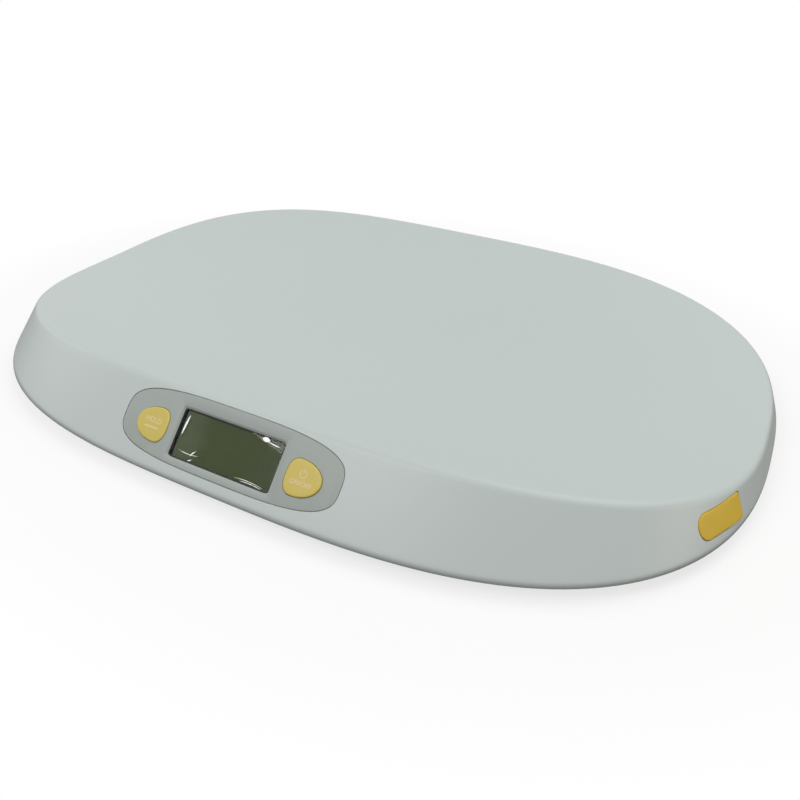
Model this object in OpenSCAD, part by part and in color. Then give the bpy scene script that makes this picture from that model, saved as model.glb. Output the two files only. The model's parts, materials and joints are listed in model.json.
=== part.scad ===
// Digital baby weighing scale. One casing carries a shallow trough-shaped tray, and
// stands on four weighing feet. A display with two buttons lies in the sloping front
// wall, and a measuring tape pulls out of the right-hand end.
// X runs along the tray, Y from the front to the back, Z up. The origin is on the
// surface that the scale stands on, under the middle of the casing.

/* [Casing] */
// Length of the casing at its lower edge
case_length = 550; // [470:1:660]
// Depth of the casing at its lower edge, from front to back
case_depth = 385; // [330:1:462]
// How far the front and back walls lean in from the lower edge to the rim
side_flare = 37.7; // [28:0.1:44]
// How far the end walls lean in from the lower edge to the rim
end_flare = 6.5; // [4:0.1:12]
// Height of the lower edge over the surface
edge_z = 10; // [9.5:0.1:13]
// Height of the rim over the lower edge, at the low ends of the tray
end_rise = 17.6; // [17.6:0.1:24]
// How much higher the rim is at the long sides, which makes the tray a trough
side_rise = 20; // [12:0.1:26]
// Thickness of the casing
wall_t = 3; // [2.4:0.1:3.4]
// Size of the soft edge round the tray
rim_soft = 4; // [3:0.5:10]
// Size of the rolled lower edge
edge_soft = 4.5; // [2:0.5:5]
// How far the casing's lower lip reaches down below the widest outline
lip_drop = 2.5; // [1:0.1:3.5]

/* [Base] */
// Height of the base's underside over the surface
base_z = 5; // [4.5:0.1:6]
// Thickness of the base's floor
floor_t = 2.5; // [2:0.1:3]
// How far the base stands in from the lower edge, at the front and the back
base_side_inset = 7.5; // [7:0.1:14]
// How far the base stands in from the lower edge, at the ends
base_end_inset = 5.4; // [5:0.1:12]
// Thickness of the base's upright border
border_t = 2; // [1.6:0.1:3]
// Height of the base's upright border
border_h = 7; // [5:0.1:8]

/* [Screw posts] */
// How far the side posts stand in from the front and back edges
side_post_inset = 62; // [58:1:75]
// How far each side post stands from the middle
side_post_x = 130; // [110:1:140]
// How far the end posts stand in from the ends
end_post_inset = 45; // [40:1:60]
// How far each end post stands from the middle
end_post_y = 40; // [30:1:45]
// Radius of a post under the tray
post_r = 4; // [3.5:0.1:5]
// Radius of a screw boss on the base
boss_r = 6; // [5.5:0.1:7]
// Radius of a case screw's shank
screw_r = 1.5; // [1.2:0.1:1.6]
// Radius of a case screw's head
screw_head_r = 3.1; // [2.8:0.1:3.3]
// Length of a case screw under its head
screw_l = 8; // [7:0.5:10]
// Depth of the screw hole in a post
post_hole = 11; // [9:0.5:12]
// Radius of the head of a small screw
small_head_r = 1.9; // [1.6:0.1:2]
// Thickness of the head of a small screw
small_head_t = 1.1; // [0.8:0.1:1.2]

/* [Feet and load cells] */
// How far the feet stand in from the ends
foot_end_inset = 105; // [90:1:115]
// How far the feet stand in from the front and back edges
foot_side_inset = 72; // [70:1:80]
// Radius of a rubber foot pad
pad_r = 17; // [14:0.5:17]
// Thickness of a rubber foot pad
pad_t = 2; // [1.5:0.1:2.4]
// Radius of a foot holder
holder_r = 19; // [18:0.5:21]
// Radius of the well that a foot stands in
well_r = 23.5; // [23:0.5:25]
// Width of the square load cell plate
cell_w = 32; // [30:1:32]
// Thickness of the load cell plate
cell_t = 1.6; // [1.2:0.1:2]
// Distance of a cell screw from the middle of its cell, along X and Y
cell_screw_at = 12.5; // [12:0.1:13]
// Width of the slots that leave a tongue in a load cell plate
cell_slot_w = 2; // [1.5:0.1:2.4]
// Thickness of a foot holder's disc
holder_t = 3.2; // [2.8:0.1:3.4]

/* [Display panel] */
// Half the width of the display panel
panel_half_w = 76.5; // [70:0.5:85]
// Half the height of the display panel
panel_half_h = 21.5; // [20:0.1:22]
// How far the panel's middle lies up the wall from the middle of the wall
panel_up = 2.4; // [0:0.1:3]
// Thickness of the panel's plate
plate_t = 1.6; // [1.4:0.1:2]
// Half the width of the window
window_half_w = 35.5; // [30:0.1:35.5]
// Half the height of the window
window_half_h = 14.3; // [12:0.1:14.3]
// How far the window's middle lies up from the middle of the wall
window_up = 0.5; // [0:0.1:1]
// Distance of each button's middle from the middle of the panel
button_at = 54; // [53:0.1:56]
// Half the width of a button
button_half_w = 11.4; // [10:0.1:11.5]
// Half the height of a button
button_half_h = 10.4; // [9:0.1:10.6]
// How far a button's widest part lies from its middle, towards the window
button_skew = 4; // [3:0.1:5]
// How far a button stands out of the middle of the panel
button_out = 0.3; // [0.2:0.1:1.5]
// How far a button travels
button_travel = 0.5; // [0.3:0.1:0.6]
// Depth of the circuit board behind the outside of the panel
board_depth = 8; // [8:0.1:9]

/* [Battery compartment] */
// Middle of the compartment along X
bay_x = -60; // [-70:1:-40]
// Middle of the compartment along Y
bay_y = -10; // [-20:1:0]
// Radius of a cell of size AAA
aaa_r = 5.25; // [5:0.05:5.25]
// Length of a cell of size AAA, with its cap
aaa_l = 44.5; // [43.5:0.1:44.5]
// Number of cells, side by side
aaa_count = 4; // [2:1:4]
// Distance between neighbouring cells' axes
aaa_pitch = 11.2; // [10.9:0.1:11.6]
// Length of a contact spring
contact_l = 5.5; // [5:0.1:7]
// Thickness of the compartment's walls
bay_wall = 1.6; // [1.4:0.1:2]
// Thickness of the battery door
door_t = 2; // [1.8:0.1:2.2]
// Width of each of the battery door's two hinge tabs
door_tab_w = 8; // [6:0.5:10]
// Width of the battery door's latch
latch_w = 8; // [6:0.5:10]

/* [Measuring tape] */
// Distance of the tape's tab from the front edge, along Y
tab_from_front = 105.5; // [100:0.5:112]
// Width of the tab along the wall
tab_w = 36; // [30:0.5:38]
// Height of the tab
tab_h = 12.7; // [10:0.1:12.7]
// Height of the tab's middle over the lower edge
tab_mid_up = 11.35; // [10.8:0.05:12]
// Thickness of the tab, from its face to its back
tab_t = 6; // [5:0.1:7]
// Width of the tape
tape_w = 7; // [6:0.1:7]
// Thickness of the tape
tape_t = 0.35; // [0.3:0.05:0.5]
// Radius of the wound tape
roll_r = 14.5; // [13:0.1:15]
// Radius of the spool's hub
hub_r = 10; // [9.6:0.1:10.4]
// Inner radius of the tape case
tape_case_r = 18.7; // [18.4:0.1:19]
// Distance from the spool's middle to the face of the tab, along the pull
tape_back = 46; // [44:0.5:50]

/* [Clearances] */
// Gap round the panel, the buttons and the door
fit_gap = 0.3; // [0.2:0.05:0.4]
// Gap round the tab in its opening
tab_gap = 0.8; // [0.5:0.1:1]
// Gap between a shaft or a screw and its hole
shaft_gap = 0.06; // [0.04:0.01:0.1]

/* [Hidden] */
$fn = 48;

// How far a cutter runs past the face that it cuts
past = 1;
// How far the panel's pocket is cut in front of the wall
pocket_reach = 5;

// Colours
shell_white = [0.82, 0.84, 0.82];
base_grey = [0.62, 0.64, 0.63];
panel_grey = [0.65, 0.68, 0.66];
button_yellow = [0.91, 0.77, 0.38];
board_green = [0.16, 0.42, 0.26];
steel = [0.72, 0.73, 0.75];
brass_gold = [0.82, 0.68, 0.36];
dark = [0.13, 0.13, 0.14];
pale = [0.86, 0.86, 0.84];
tape_cream = [0.93, 0.9, 0.7];

// The casing's outlines. Each is |x/a|^nx + |y/b|^ny = 1.
edge_a = case_length / 2;
edge_b = case_depth / 2;
rim_a = edge_a - end_flare;
rim_b = edge_b - side_flare;
edge_nx = 3.1;
edge_ny = 2.55;
rim_nx = 3.25;
rim_ny = 2.6;
outline_steps = 112;
// Moves points of the outline towards its four flat sides, where they lie far apart
spread = 8.6;

function signed_power(v, p) = sign(v) * pow(abs(v), p);
function step_angle(i) = let (t = 360 * i / outline_steps) t - spread * sin(4 * t);
function outline_point(a, b, nx, ny, t) =
    [a * signed_power(cos(t), 2 / nx), b * signed_power(sin(t), 2 / ny)];
function outline(a, b, nx, ny) =
    [for (i = [0 : outline_steps - 1]) outline_point(a, b, nx, ny, step_angle(i))];
// Outward direction of such an outline at a point
function outward(a, b, nx, ny, p) =
    let (
        gx = nx / a * signed_power(p.x / a, nx - 1),
        gy = ny / b * signed_power(p.y / b, ny - 1)
    ) [gx, gy] / norm([gx, gy]);
function curve(p0, p1, p2, u) = (1 - u) * (1 - u) * p0 + 2 * u * (1 - u) * p1 + u * u * p2;

// The tray is a trough: its height depends on Y alone
tray_low_z = edge_z + end_rise;
function tray_z(y) = tray_low_z + side_rise * pow(y / rim_b, 2);

// One upright section through the casing's wall at outline angle t, as a list of
// points from the inner lower edge, round the outside and along the tray
lip_share = 0.8;
// How far the lip stands in at its lower end
lip_lean = 0.8;
lip_z = edge_z - lip_drop;
edge_steps = 3;
rim_steps = 5;
tray_shares = [0.93, 0.8, 0.6, 0.35, 0.12];
function section(t) =
    let (
        low = outline_point(edge_a, edge_b, edge_nx, edge_ny, t),
        high = outline_point(rim_a, rim_b, rim_nx, rim_ny, t),
        out = outward(rim_a, rim_b, rim_nx, rim_ny, high),
        out_low = outward(edge_a, edge_b, edge_nx, edge_ny, low),
        rise = tray_z(high.y) - edge_z,
        lean = (low - high) * out,
        slant = norm([lean, rise]),
        inset = wall_t * slant / rise,
        foot = [low.x, low.y, edge_z],
        rim = [high.x, high.y, tray_z(high.y)],
        up = (rim - foot) / norm(rim - foot),
        in_low = low - out_low * inset,
        lip_in = low - out_low * inset * lip_share,
        lip_out = low - out_low * lip_lean,
        lip_low = [lip_out.x, lip_out.y, lip_z],
        lip_mid = (foot + lip_low) / 2,
        on_tray = high - out * rim_soft,
        soft_end = [on_tray.x, on_tray.y, tray_z(on_tray.y)],
        tray_dir = soft_end - rim,
        g = [rim_soft, tray_dir.z] / norm([rim_soft, tray_dir.z]),
        w = [lean, rise] / slant,
        wall_in = [w.y, -w.x],
        tray_in = [g.y, -g.x],
        mitre = wall_t * (wall_in + tray_in) / (1 + wall_in * tray_in),
        corner = high - out * mitre.x
    )
    [
        [in_low.x, in_low.y, edge_z],
        [in_low.x, in_low.y, lip_z],
        [lip_in.x, lip_in.y, lip_z],
        for (k = [1 : edge_steps]) curve([lip_in.x, lip_in.y, lip_z], lip_low, lip_mid, k / edge_steps),
        for (k = [1 : edge_steps]) curve(lip_mid, foot, foot + up * edge_soft, k / edge_steps),
        (foot + rim) / 2,
        for (k = [0 : rim_steps]) curve(rim - up * rim_soft, rim, soft_end, k / rim_steps),
        for (f = tray_shares) [on_tray.x * f, on_tray.y * f, tray_z(on_tray.y * f)],
        for (k = [len(tray_shares) - 1 : -1 : 0]) let (f = tray_shares[k])
            [corner.x * f, corner.y * f, tray_z(corner.y * f) - wall_t],
        [corner.x, corner.y, tray_z(corner.y) - wall_t]
    ];

// A closed skin through the sections: the outside ends on one point in the middle of
// the tray, and the inside starts on one below it
module casing_skin() {
    sections = [for (i = [0 : outline_steps - 1]) section(step_angle(i))];
    count = len(sections[0]);
    inner_first = count - len(tray_shares) - 1;
    points = [
        for (s = sections) each s,
        [0, 0, tray_low_z],
        [0, 0, tray_low_z - wall_t]
    ];
    top = outline_steps * count;
    faces = [
        for (i = [0 : outline_steps - 1]) let (a = i * count, b = ((i + 1) % outline_steps) * count)
            each [
                for (k = [0 : count - 1]) if (k != inner_first - 1) let (n = (k + 1) % count)
                    each [[a + k, a + n, b + n], [a + k, b + n, b + k]],
                [a + inner_first - 1, top, b + inner_first - 1],
                [a + inner_first, b + inner_first, top + 1]
            ]
    ];
    polyhedron(points, faces, convexity = 6);
}

// Places of the posts and the feet
side_posts = [for (x = [-side_post_x, side_post_x], y = [-1, 1]) [x, y * (edge_b - side_post_inset)]];
end_posts = [for (x = [-1, 1], y = [-end_post_y, end_post_y]) [x * (edge_a - end_post_inset), y]];
posts = concat(side_posts, end_posts);
feet = [for (x = [-1, 1], y = [-1, 1])
    [x * (edge_a - foot_end_inset), y * (edge_b - foot_side_inset)]];
boss_top = edge_z;
floor_z = base_z + floor_t;
sink = 0.8;

// The panel's own frame: X to the right, Y up the wall, Z out of the wall
wall_rise = tray_z(rim_b) - edge_z;
panel_tilt = atan2(wall_rise, side_flare);
panel_mid = [0, -(edge_b + rim_b) / 2, edge_z + wall_rise / 2];
module on_panel() {
    translate(panel_mid) rotate([panel_tilt, 0, 0]) children();
}
panel_power = 3.3;
panel_steps = 72;
// Radius that the front wall bends by, across the panel
panel_bend_r = 2900;
function panel_outline(w, h) = [for (i = [0 : panel_steps - 1])
    let (t = 360 * i / panel_steps - 6 * sin(4 * 360 * i / panel_steps))
    [w * signed_power(cos(t), 2 / panel_power), h * signed_power(sin(t), 2 / panel_power)]];
module panel_plate(w, h, low, high) {
    translate([0, panel_up, low]) linear_extrude(high - low) polygon(panel_outline(w, h));
}
// A slab between two depths, bent along X as the front wall is
bend_steps_x = 28;
function bent_line(z) = [for (i = [0 : bend_steps_x])
    let (x = (2 * i / bend_steps_x - 1) * (panel_half_w + 4)) [x, z - x * x / (2 * panel_bend_r)]];
module bent_slab(low, high) {
    under = bent_line(low);
    rotate([90, 0, 0]) linear_extrude(3 * panel_half_h, center = true)
        polygon(concat(bent_line(high), [for (i = [bend_steps_x : -1 : 0]) under[i]]));
}
// Width of the wall's ledge under the edge of the plate
ledge = 2.2;

// A button's outline: longer and rounder outside, shorter and flatter towards the window
button_steps = 48;
function button_outline(grow) = [for (i = [0 : button_steps - 1])
    let (
        t = 360 * i / button_steps,
        inner = cos(t) < 0,
        p = inner ? 2.6 : 2,
        w = button_half_w + (inner ? -button_skew : button_skew) + grow,
        h = button_half_h + grow
    ) [w * signed_power(cos(t), 2 / p) - button_skew, h * signed_power(sin(t), 2 / p)]];
module button_shape(side, grow, low, high) {
    translate([side * button_at, 0, low]) mirror([side < 0 ? 1 : 0, 0, 0])
        linear_extrude(high - low) polygon(button_outline(grow));
}
module window_shape(grow, low, high) {
    w = window_half_w + grow;
    h = window_half_h + grow;
    translate([-w, window_up - h, low]) cube([2 * w, 2 * h, high - low]);
}
// Depths behind the outside of the panel
lens_margin = 0.7;
lens_gap = 0.1;
lens_sag = pow(window_half_w + lens_margin, 2) / (2 * panel_bend_r);
window_z = -plate_t - lens_sag;
lens_t = 1.1;
bevel_w = 1.8;
bevel_h = 1.3;
bevel_z = -bevel_h;
weld = 0.4;
rim_margin = 1.9;
glass_top = -3.2;
glass_t = 2.6;
glass_margin = 1.1;
glass_half_w = window_half_w + glass_margin;
glass_half_h = window_half_h + glass_margin;
board_t = 1.6;
board_inset = 4;
board_half_w = panel_half_w - board_inset;
board_low = -15;
board_high = 19.5;
// Places of the panel's bosses, which the board is screwed to
boss_inset = 6.5;
panel_bosses = concat(
    [for (x = [-1, 1], y = [-12.5, 16.5]) [x * (window_half_w + boss_inset), y]],
    [for (x = [-1, 1]) [x * (panel_half_w - boss_inset), panel_up]]
);
panel_boss_r = 2.1;
panel_boss_hole = 4;
board_screw_r = 0.9;
board_screw_l = 3;
switch_w = 6;
switch_h = 3.4;
plunger_r = 1.7;
plunger_out = 0.9;
plunger_top = -board_depth + switch_h + plunger_out;
switch_floor = 0.6;

module bar(from, to) {
    translate(from) cube(to - from);
}

// ---- casing -------------------------------------------------------------------

module top_shell() {
    color(shell_white) difference() {
        union() {
            casing_skin();
            for (p = posts) translate([p.x, p.y, boss_top])
                cylinder(r = post_r, h = tray_z(p.y) - wall_t + sink - boss_top);
        }
        for (p = posts) translate([p.x, p.y, boss_top - past])
            cylinder(r = screw_r + shaft_gap, h = post_hole + past);
        on_panel() {
            panel_plate(panel_half_w - ledge, panel_half_h - ledge, -2 * wall_t, past);
            intersection() {
                panel_plate(panel_half_w + fit_gap, panel_half_h + fit_gap, -2 * wall_t, pocket_reach + past);
                bent_slab(-plate_t, pocket_reach);
            }
        }
        at_tab() tab_shape(tab_gap, -3 * wall_t, wall_t + past);
    }
}

module base_outline(grow) {
    polygon(outline(edge_a - base_end_inset + grow, edge_b - base_side_inset + grow,
        edge_nx, edge_ny));
}
well_wall = 2;
well_roof_z = edge_z + 1.2;
// The cells hang on short pillars under the roofs of the wells
pillar_l = 0.6;
pillar_r = 2.6;
cell_z = well_roof_z - pillar_l - cell_t;
module base_shell() {
    color(base_grey) difference() {
        union() {
            translate([0, 0, base_z]) linear_extrude(floor_t) base_outline(0);
            translate([0, 0, base_z]) linear_extrude(border_h) difference() {
                base_outline(0);
                base_outline(-border_t);
            }
            for (p = posts) translate([p.x, p.y, base_z])
                cylinder(r = boss_r, h = boss_top - base_z);
            for (p = feet) translate([p.x, p.y, base_z])
                cylinder(r = well_r + well_wall, h = well_roof_z + well_wall - base_z);
            translate([bay_x, bay_y, base_z]) bay_block(bay_wall, bay_roof_z + bay_wall - base_z);
            at_spool() for (p = tape_ears) translate([p.x, p.y, floor_z - sink])
                cylinder(r = ear_r, h = tape_case_z - floor_z + sink);
        }
        for (p = posts) translate([p.x, p.y, base_z - past]) {
            cylinder(r = screw_head_r + fit_gap, h = screw_seat - base_z + past);
            cylinder(r = screw_r + fit_gap, h = boss_top - base_z + 2 * past);
        }
        for (p = feet) translate([p.x, p.y, 0]) foot_well();
        bay_hollow();
        at_spool() for (p = tape_ears) translate([p.x, p.y, tape_case_z - ear_hole])
            cylinder(r = board_screw_r + shaft_gap, h = ear_hole + past);
    }
}
screw_head_t = 1.9;
screw_seat = base_z + screw_head_t + 0.7;
// How deep a cell screw goes past its cell, and the room left at its end
cell_grip = 1.6;
screw_play = 0.2;
lead_hole_r = 2.2;
lead_hole_at = 8;
module foot_well() {
    difference() {
        translate([0, 0, base_z - past]) cylinder(r = well_r, h = well_roof_z - base_z + past);
        for (x = [-1, 1], y = [-1, 1]) translate([x * cell_screw_at, y * cell_screw_at, cell_z + cell_t])
            cylinder(r = pillar_r, h = pillar_l + past);
    }
    for (x = [-1, 1], y = [-1, 1]) translate([x * cell_screw_at, y * cell_screw_at, cell_z])
        cylinder(r = board_screw_r + shaft_gap, h = cell_t + cell_grip + screw_play);
    translate([0, lead_hole_at, well_roof_z - past])
        cylinder(r = lead_hole_r, h = well_wall + 2 * past);
}

module case_screws() {
    color(steel) for (p = posts) translate([p.x, p.y, screw_seat]) {
        difference() {
            translate([0, 0, -screw_head_t]) cylinder(r = screw_head_r, h = screw_head_t);
            translate([0, 0, -screw_head_t - past]) cross_slot(slot_l, slot_w, past + slot_w);
        }
        cylinder(r = screw_r, h = screw_l);
    }
}
slot_l = 3.6;
slot_w = 0.8;
module cross_slot(l, w, h) {
    translate([-l / 2, -w / 2, 0]) cube([l, w, h]);
    translate([-w / 2, -l / 2, 0]) cube([w, l, h]);
}

// ---- weighing feet --------------------------------------------------------------

module foot_pads() {
    color(dark) for (p = feet) translate([p.x, p.y, 0]) cylinder(r = pad_r, h = pad_t);
}
holder_neck_r = 5;
module foot_holders() {
    color(base_grey) for (p = feet) translate([p.x, p.y, pad_t]) {
        cylinder(r = holder_r, h = holder_t);
        cylinder(r = holder_neck_r, h = cell_z - pad_t);
    }
}
tongue_half_w = 7.5;
cell_border = 6;
module load_cells() {
    color(steel) for (p = feet) translate([p.x, p.y, cell_z]) difference() {
        translate([-cell_w / 2, -cell_w / 2, 0]) cube([cell_w, cell_w, cell_t]);
        // Slots leave a tongue in the middle, which bends under the load
        for (x = [-1, 1]) translate([x * tongue_half_w - cell_slot_w / 2, -cell_w / 2 + cell_border, -past])
            cube([cell_slot_w, cell_w - 2 * cell_border, cell_t + 2 * past]);
        translate([-tongue_half_w - cell_slot_w / 2, -cell_w / 2 + cell_border, -past])
            cube([2 * tongue_half_w + cell_slot_w, cell_slot_w, cell_t + 2 * past]);
        for (x = [-1, 1], y = [-1, 1]) translate([x * cell_screw_at, y * cell_screw_at, -past])
            cylinder(r = board_screw_r + shaft_gap, h = cell_t + 2 * past);
    }
}
gauge = [6, 4.5, 0.3];
gauge_at = 3;
module strain_gauges() {
    color(brass_gold) for (p = feet) translate([p.x - gauge.x / 2, p.y + gauge_at, cell_z + cell_t])
        cube(gauge);
}
module cell_screws() {
    color(steel) for (p = feet, x = [-1, 1], y = [-1, 1])
        translate([p.x + x * cell_screw_at, p.y + y * cell_screw_at, cell_z]) {
            translate([0, 0, -small_head_t]) cylinder(r = small_head_r, h = small_head_t);
            cylinder(r = board_screw_r, h = cell_t + cell_grip);
        }
}

// ---- display ----------------------------------------------------------------------

// The plate lies in the wall's pocket. Behind it are a frame round the lens, and the
// bosses that carry the board.
module window_ring(inner, outer) {
    difference() {
        square(2 * [window_half_w + outer, window_half_h + outer], center = true);
        square(2 * [window_half_w + inner, window_half_h + inner], center = true);
    }
}
module slope_prism(half, length) {
    linear_extrude(length, center = true)
        polygon([[-half, bevel_z], [half, bevel_z], [half + 2 * bevel_w, bevel_z + 2 * bevel_h],
            [-half - 2 * bevel_w, bevel_z + 2 * bevel_h]]);
}
module window_bevel() {
    intersection() {
        rotate([90, 0, 0]) slope_prism(window_half_w, 4 * window_half_h);
        translate([0, window_up, 0]) rotate([90, 0, 90]) slope_prism(window_half_h, 4 * window_half_w);
    }
}
module display_bezel() {
    color(panel_grey) on_panel() difference() {
        union() {
            intersection() {
                panel_plate(panel_half_w, panel_half_h, -2 * wall_t, past);
                bent_slab(-plate_t, 0);
            }
            translate([0, window_up, glass_top]) linear_extrude(window_z - glass_top + weld)
                window_ring(lens_margin + lens_gap, rim_margin);
            for (p = panel_bosses) translate([p.x, p.y, -board_depth])
                cylinder(r = panel_boss_r, h = board_depth - plate_t);
        }
        window_shape(0, -2 * wall_t, past);
        window_bevel();
        for (s = [-1, 1]) button_shape(s, fit_gap, -2 * wall_t, past);
        for (p = panel_bosses) translate([p.x, p.y, -board_depth - past])
            cylinder(r = board_screw_r + shaft_gap, h = panel_boss_hole + past);
    }
}

module display_window() {
    color([0.25, 0.28, 0.24, 0.5]) on_panel()
        window_shape(lens_margin, window_z - lens_t, window_z);
}

// A block of the display glass's outline
module glass_bar(low, high) {
    translate([-glass_half_w, window_up - glass_half_h, low])
        cube([2 * glass_half_w, 2 * glass_half_h, high - low]);
}
module lcd_glass() {
    color([0.30, 0.33, 0.22]) on_panel()
        glass_bar(glass_top - glass_t, glass_top);
}

module lcd_holder() {
    low = -board_depth;
    high = glass_top - glass_t;
    color(dark) on_panel() difference() {
        glass_bar(low, high);
        connector_slot(0, low - past, high + past);
        translate([-glass_half_w + holder_rim, window_up - glass_half_h + 2 * holder_rim, low - past])
            cube([2 * (glass_half_w - holder_rim), 2 * glass_half_h - 3 * holder_rim, high - low + 2 * past]);
    }
}
holder_rim = 3;
connector_low = 1.2;
connector_w = 2.6;
module connector_slot(gap, low, high) {
    translate([-glass_half_w + holder_rim + gap, window_up - glass_half_h + connector_low + gap, low])
        cube([2 * (glass_half_w - holder_rim - gap), connector_w - 2 * gap, high - low]);
}
module lcd_connector() {
    color([0.85, 0.55, 0.6]) on_panel() connector_slot(fit_gap, -board_depth, glass_top - glass_t);
}

board_back = -board_depth - board_t;
module circuit_board() {
    color(board_green) on_panel() difference() {
        bar([-board_half_w, board_low, board_back], [board_half_w, board_high, -board_depth]);
        for (p = panel_bosses) translate([p.x, p.y, board_back - past])
            cylinder(r = board_screw_r + shaft_gap, h = board_t + 2 * past);
    }
}
module board_screws() {
    color(steel) on_panel() for (p = panel_bosses) translate([p.x, p.y, board_back]) {
        translate([0, 0, -small_head_t]) cylinder(r = small_head_r, h = small_head_t);
        cylinder(r = board_screw_r, h = board_t + board_screw_l);
    }
}
// The chip lies under a round drop of resin
chip_r = 7;
chip_t = 1.6;
chip_y = 2;
module controller_chip() {
    color(dark) on_panel() translate([0, chip_y, board_back - chip_t]) cylinder(r = chip_r, h = chip_t);
}
capacitor_r = 2.5;
capacitor_l = 5;
capacitors = [[17, 3], [25, 3]];
module board_capacitors() {
    color([0.2, 0.25, 0.45]) on_panel() for (p = capacitors) translate([p.x, p.y, board_back - capacitor_l])
        cylinder(r = capacitor_r, h = capacitor_l);
}
socket_depth = 5;
socket_wall = 1;
// How deep the leads go into their sockets
socket_grip = 2;
socket_y = [-7, -1];
sockets = [[-62, -30], [41, 54]];
module lead_sockets() {
    color(pale) on_panel() for (s = sockets) difference() {
        bar([s[0], socket_y[0], board_back - socket_depth], [s[1], socket_y[1], board_back]);
        bar([s[0] + socket_wall, socket_y[0] + socket_wall, board_back - socket_depth - past],
            [s[1] - socket_wall, socket_y[1] - socket_wall, board_back - socket_depth + socket_grip]);
    }
}
module switch_housings() {
    color([0.2, 0.2, 0.21]) on_panel() for (s = [-1, 1]) translate([s * button_at, 0, -board_depth])
        difference() {
            translate([-switch_w / 2, -switch_w / 2, 0]) cube([switch_w, switch_w, switch_h]);
            translate([0, 0, switch_floor]) cylinder(r = plunger_r + shaft_gap, h = switch_h);
        }
}

// A button: a low crown, a flange that stops it behind the panel, and a stem
button_flange_w = 1;
button_flange_t = 0.8;
button_stem_r = 2.2;
// The crown's steps: how far each stands in, and how far under the top it starts
crown_steps = [[0.5, 0.5], [1.3, 0.15]];
flange_top = -plate_t - pow(button_at + button_half_w + button_flange_w, 2) / (2 * panel_bend_r) - 0.2;
module button(side) {
    color(button_yellow) on_panel() {
        button_shape(side, 0, flange_top - button_flange_t, button_out - crown_steps[0][1]);
        button_shape(side, -crown_steps[0][0], button_out - crown_steps[0][1], button_out - crown_steps[1][1]);
        button_shape(side, -crown_steps[1][0], button_out - crown_steps[1][1], button_out);
        button_shape(side, button_flange_w, flange_top - button_flange_t, flange_top);
        translate([side * button_at, 0, plunger_top]) cylinder(r = button_stem_r, h = flange_top - plunger_top);
    }
}
plunger_low = -board_depth + switch_floor + button_travel + fit_gap;
module plunger(side) {
    color(dark) on_panel() translate([side * button_at, 0, plunger_low])
        cylinder(r = plunger_r, h = plunger_top - plunger_low);
}
module hold_button() {
    button(-1);
}
module hold_plunger() {
    plunger(-1);
}
module power_button() {
    button(1);
}
module power_plunger() {
    plunger(1);
}

// ---- battery compartment ------------------------------------------------------------

plate_metal_t = 0.4;
bay_l = aaa_l + contact_l + 2 * plate_metal_t;
// Room beside the cells, under them and over them
room_beside = 1.2;
room_under = 0.3;
room_over = 0.8;
// Ribs that stop the door, and carry the cells
rib_w = 1.2;
rib_h = 1;
bay_w = aaa_pitch * (aaa_count - 1) + 2 * aaa_r + 2 * room_beside;
aaa_z = base_z + door_t + rib_h + room_under + aaa_r;
bay_roof_z = aaa_z + aaa_r + room_over;
// The door's tabs: a neck that stands on the door, and a hook over the base's floor
tab_pair_x = 15;
tab_reach = 3;
tab_neck = 2;
tab_lift = 0.2;
tab_hook_t = 1.2;
tab_slot_gap = 0.5;
tab_slot_h = 3.6;
// The door's latch: a tongue that stands behind its edge, and a hook at the top
latch_t = 1;
latch_back = 1.4;
latch_up = 2.6;
latch_hook_t = 1.2;
latch_reach = 0.9;
notch_gap = 2;
notch_reach = 3;
notch_h = 8;
// Grooves for the thumb on the door
grooves = 5;
groove = [16, 1, 0.4];
groove_pitch = 2;
groove_from_edge = 8;
lead_play = 0.3;
module bay_block(grow, h) {
    translate([-bay_l / 2 - grow, -bay_w / 2 - grow, 0]) cube([bay_l + 2 * grow, bay_w + 2 * grow, h]);
}
module bay_hollow() {
    translate([bay_x, bay_y, 0]) difference() {
        union() {
            translate([0, 0, base_z - past]) bay_block(0, bay_roof_z - base_z + past);
            // Slots for the door's tabs, and the notch at its latch
            for (x = [-1, 1])
                translate([x * tab_pair_x - door_tab_w / 2 - tab_slot_gap, bay_w / 2 - past, floor_z])
                    cube([door_tab_w + 2 * tab_slot_gap, bay_wall + 2 * past, tab_slot_h]);
            translate([-latch_w / 2 - notch_gap, -bay_w / 2 - bay_wall - notch_reach, base_z - past])
                cube([latch_w + 2 * notch_gap, bay_wall + notch_reach + past, notch_h]);
            for (y = [-1, 1]) translate([-bay_l / 2 - bay_wall - past, y * lead_cell_y, aaa_z])
                rotate([0, 90, 0]) cylinder(r = lead_r + lead_play, h = bay_wall + 2 * past);
        }
        for (x = [-1, 1]) translate([x * (bay_l - rib_w) / 2 - rib_w / 2, -bay_w / 2 - past, base_z + door_t])
            cube([rib_w, bay_w + 2 * past, rib_h]);
    }
}
lead_cell_y = aaa_pitch * (aaa_count - 1) / 2;
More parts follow.
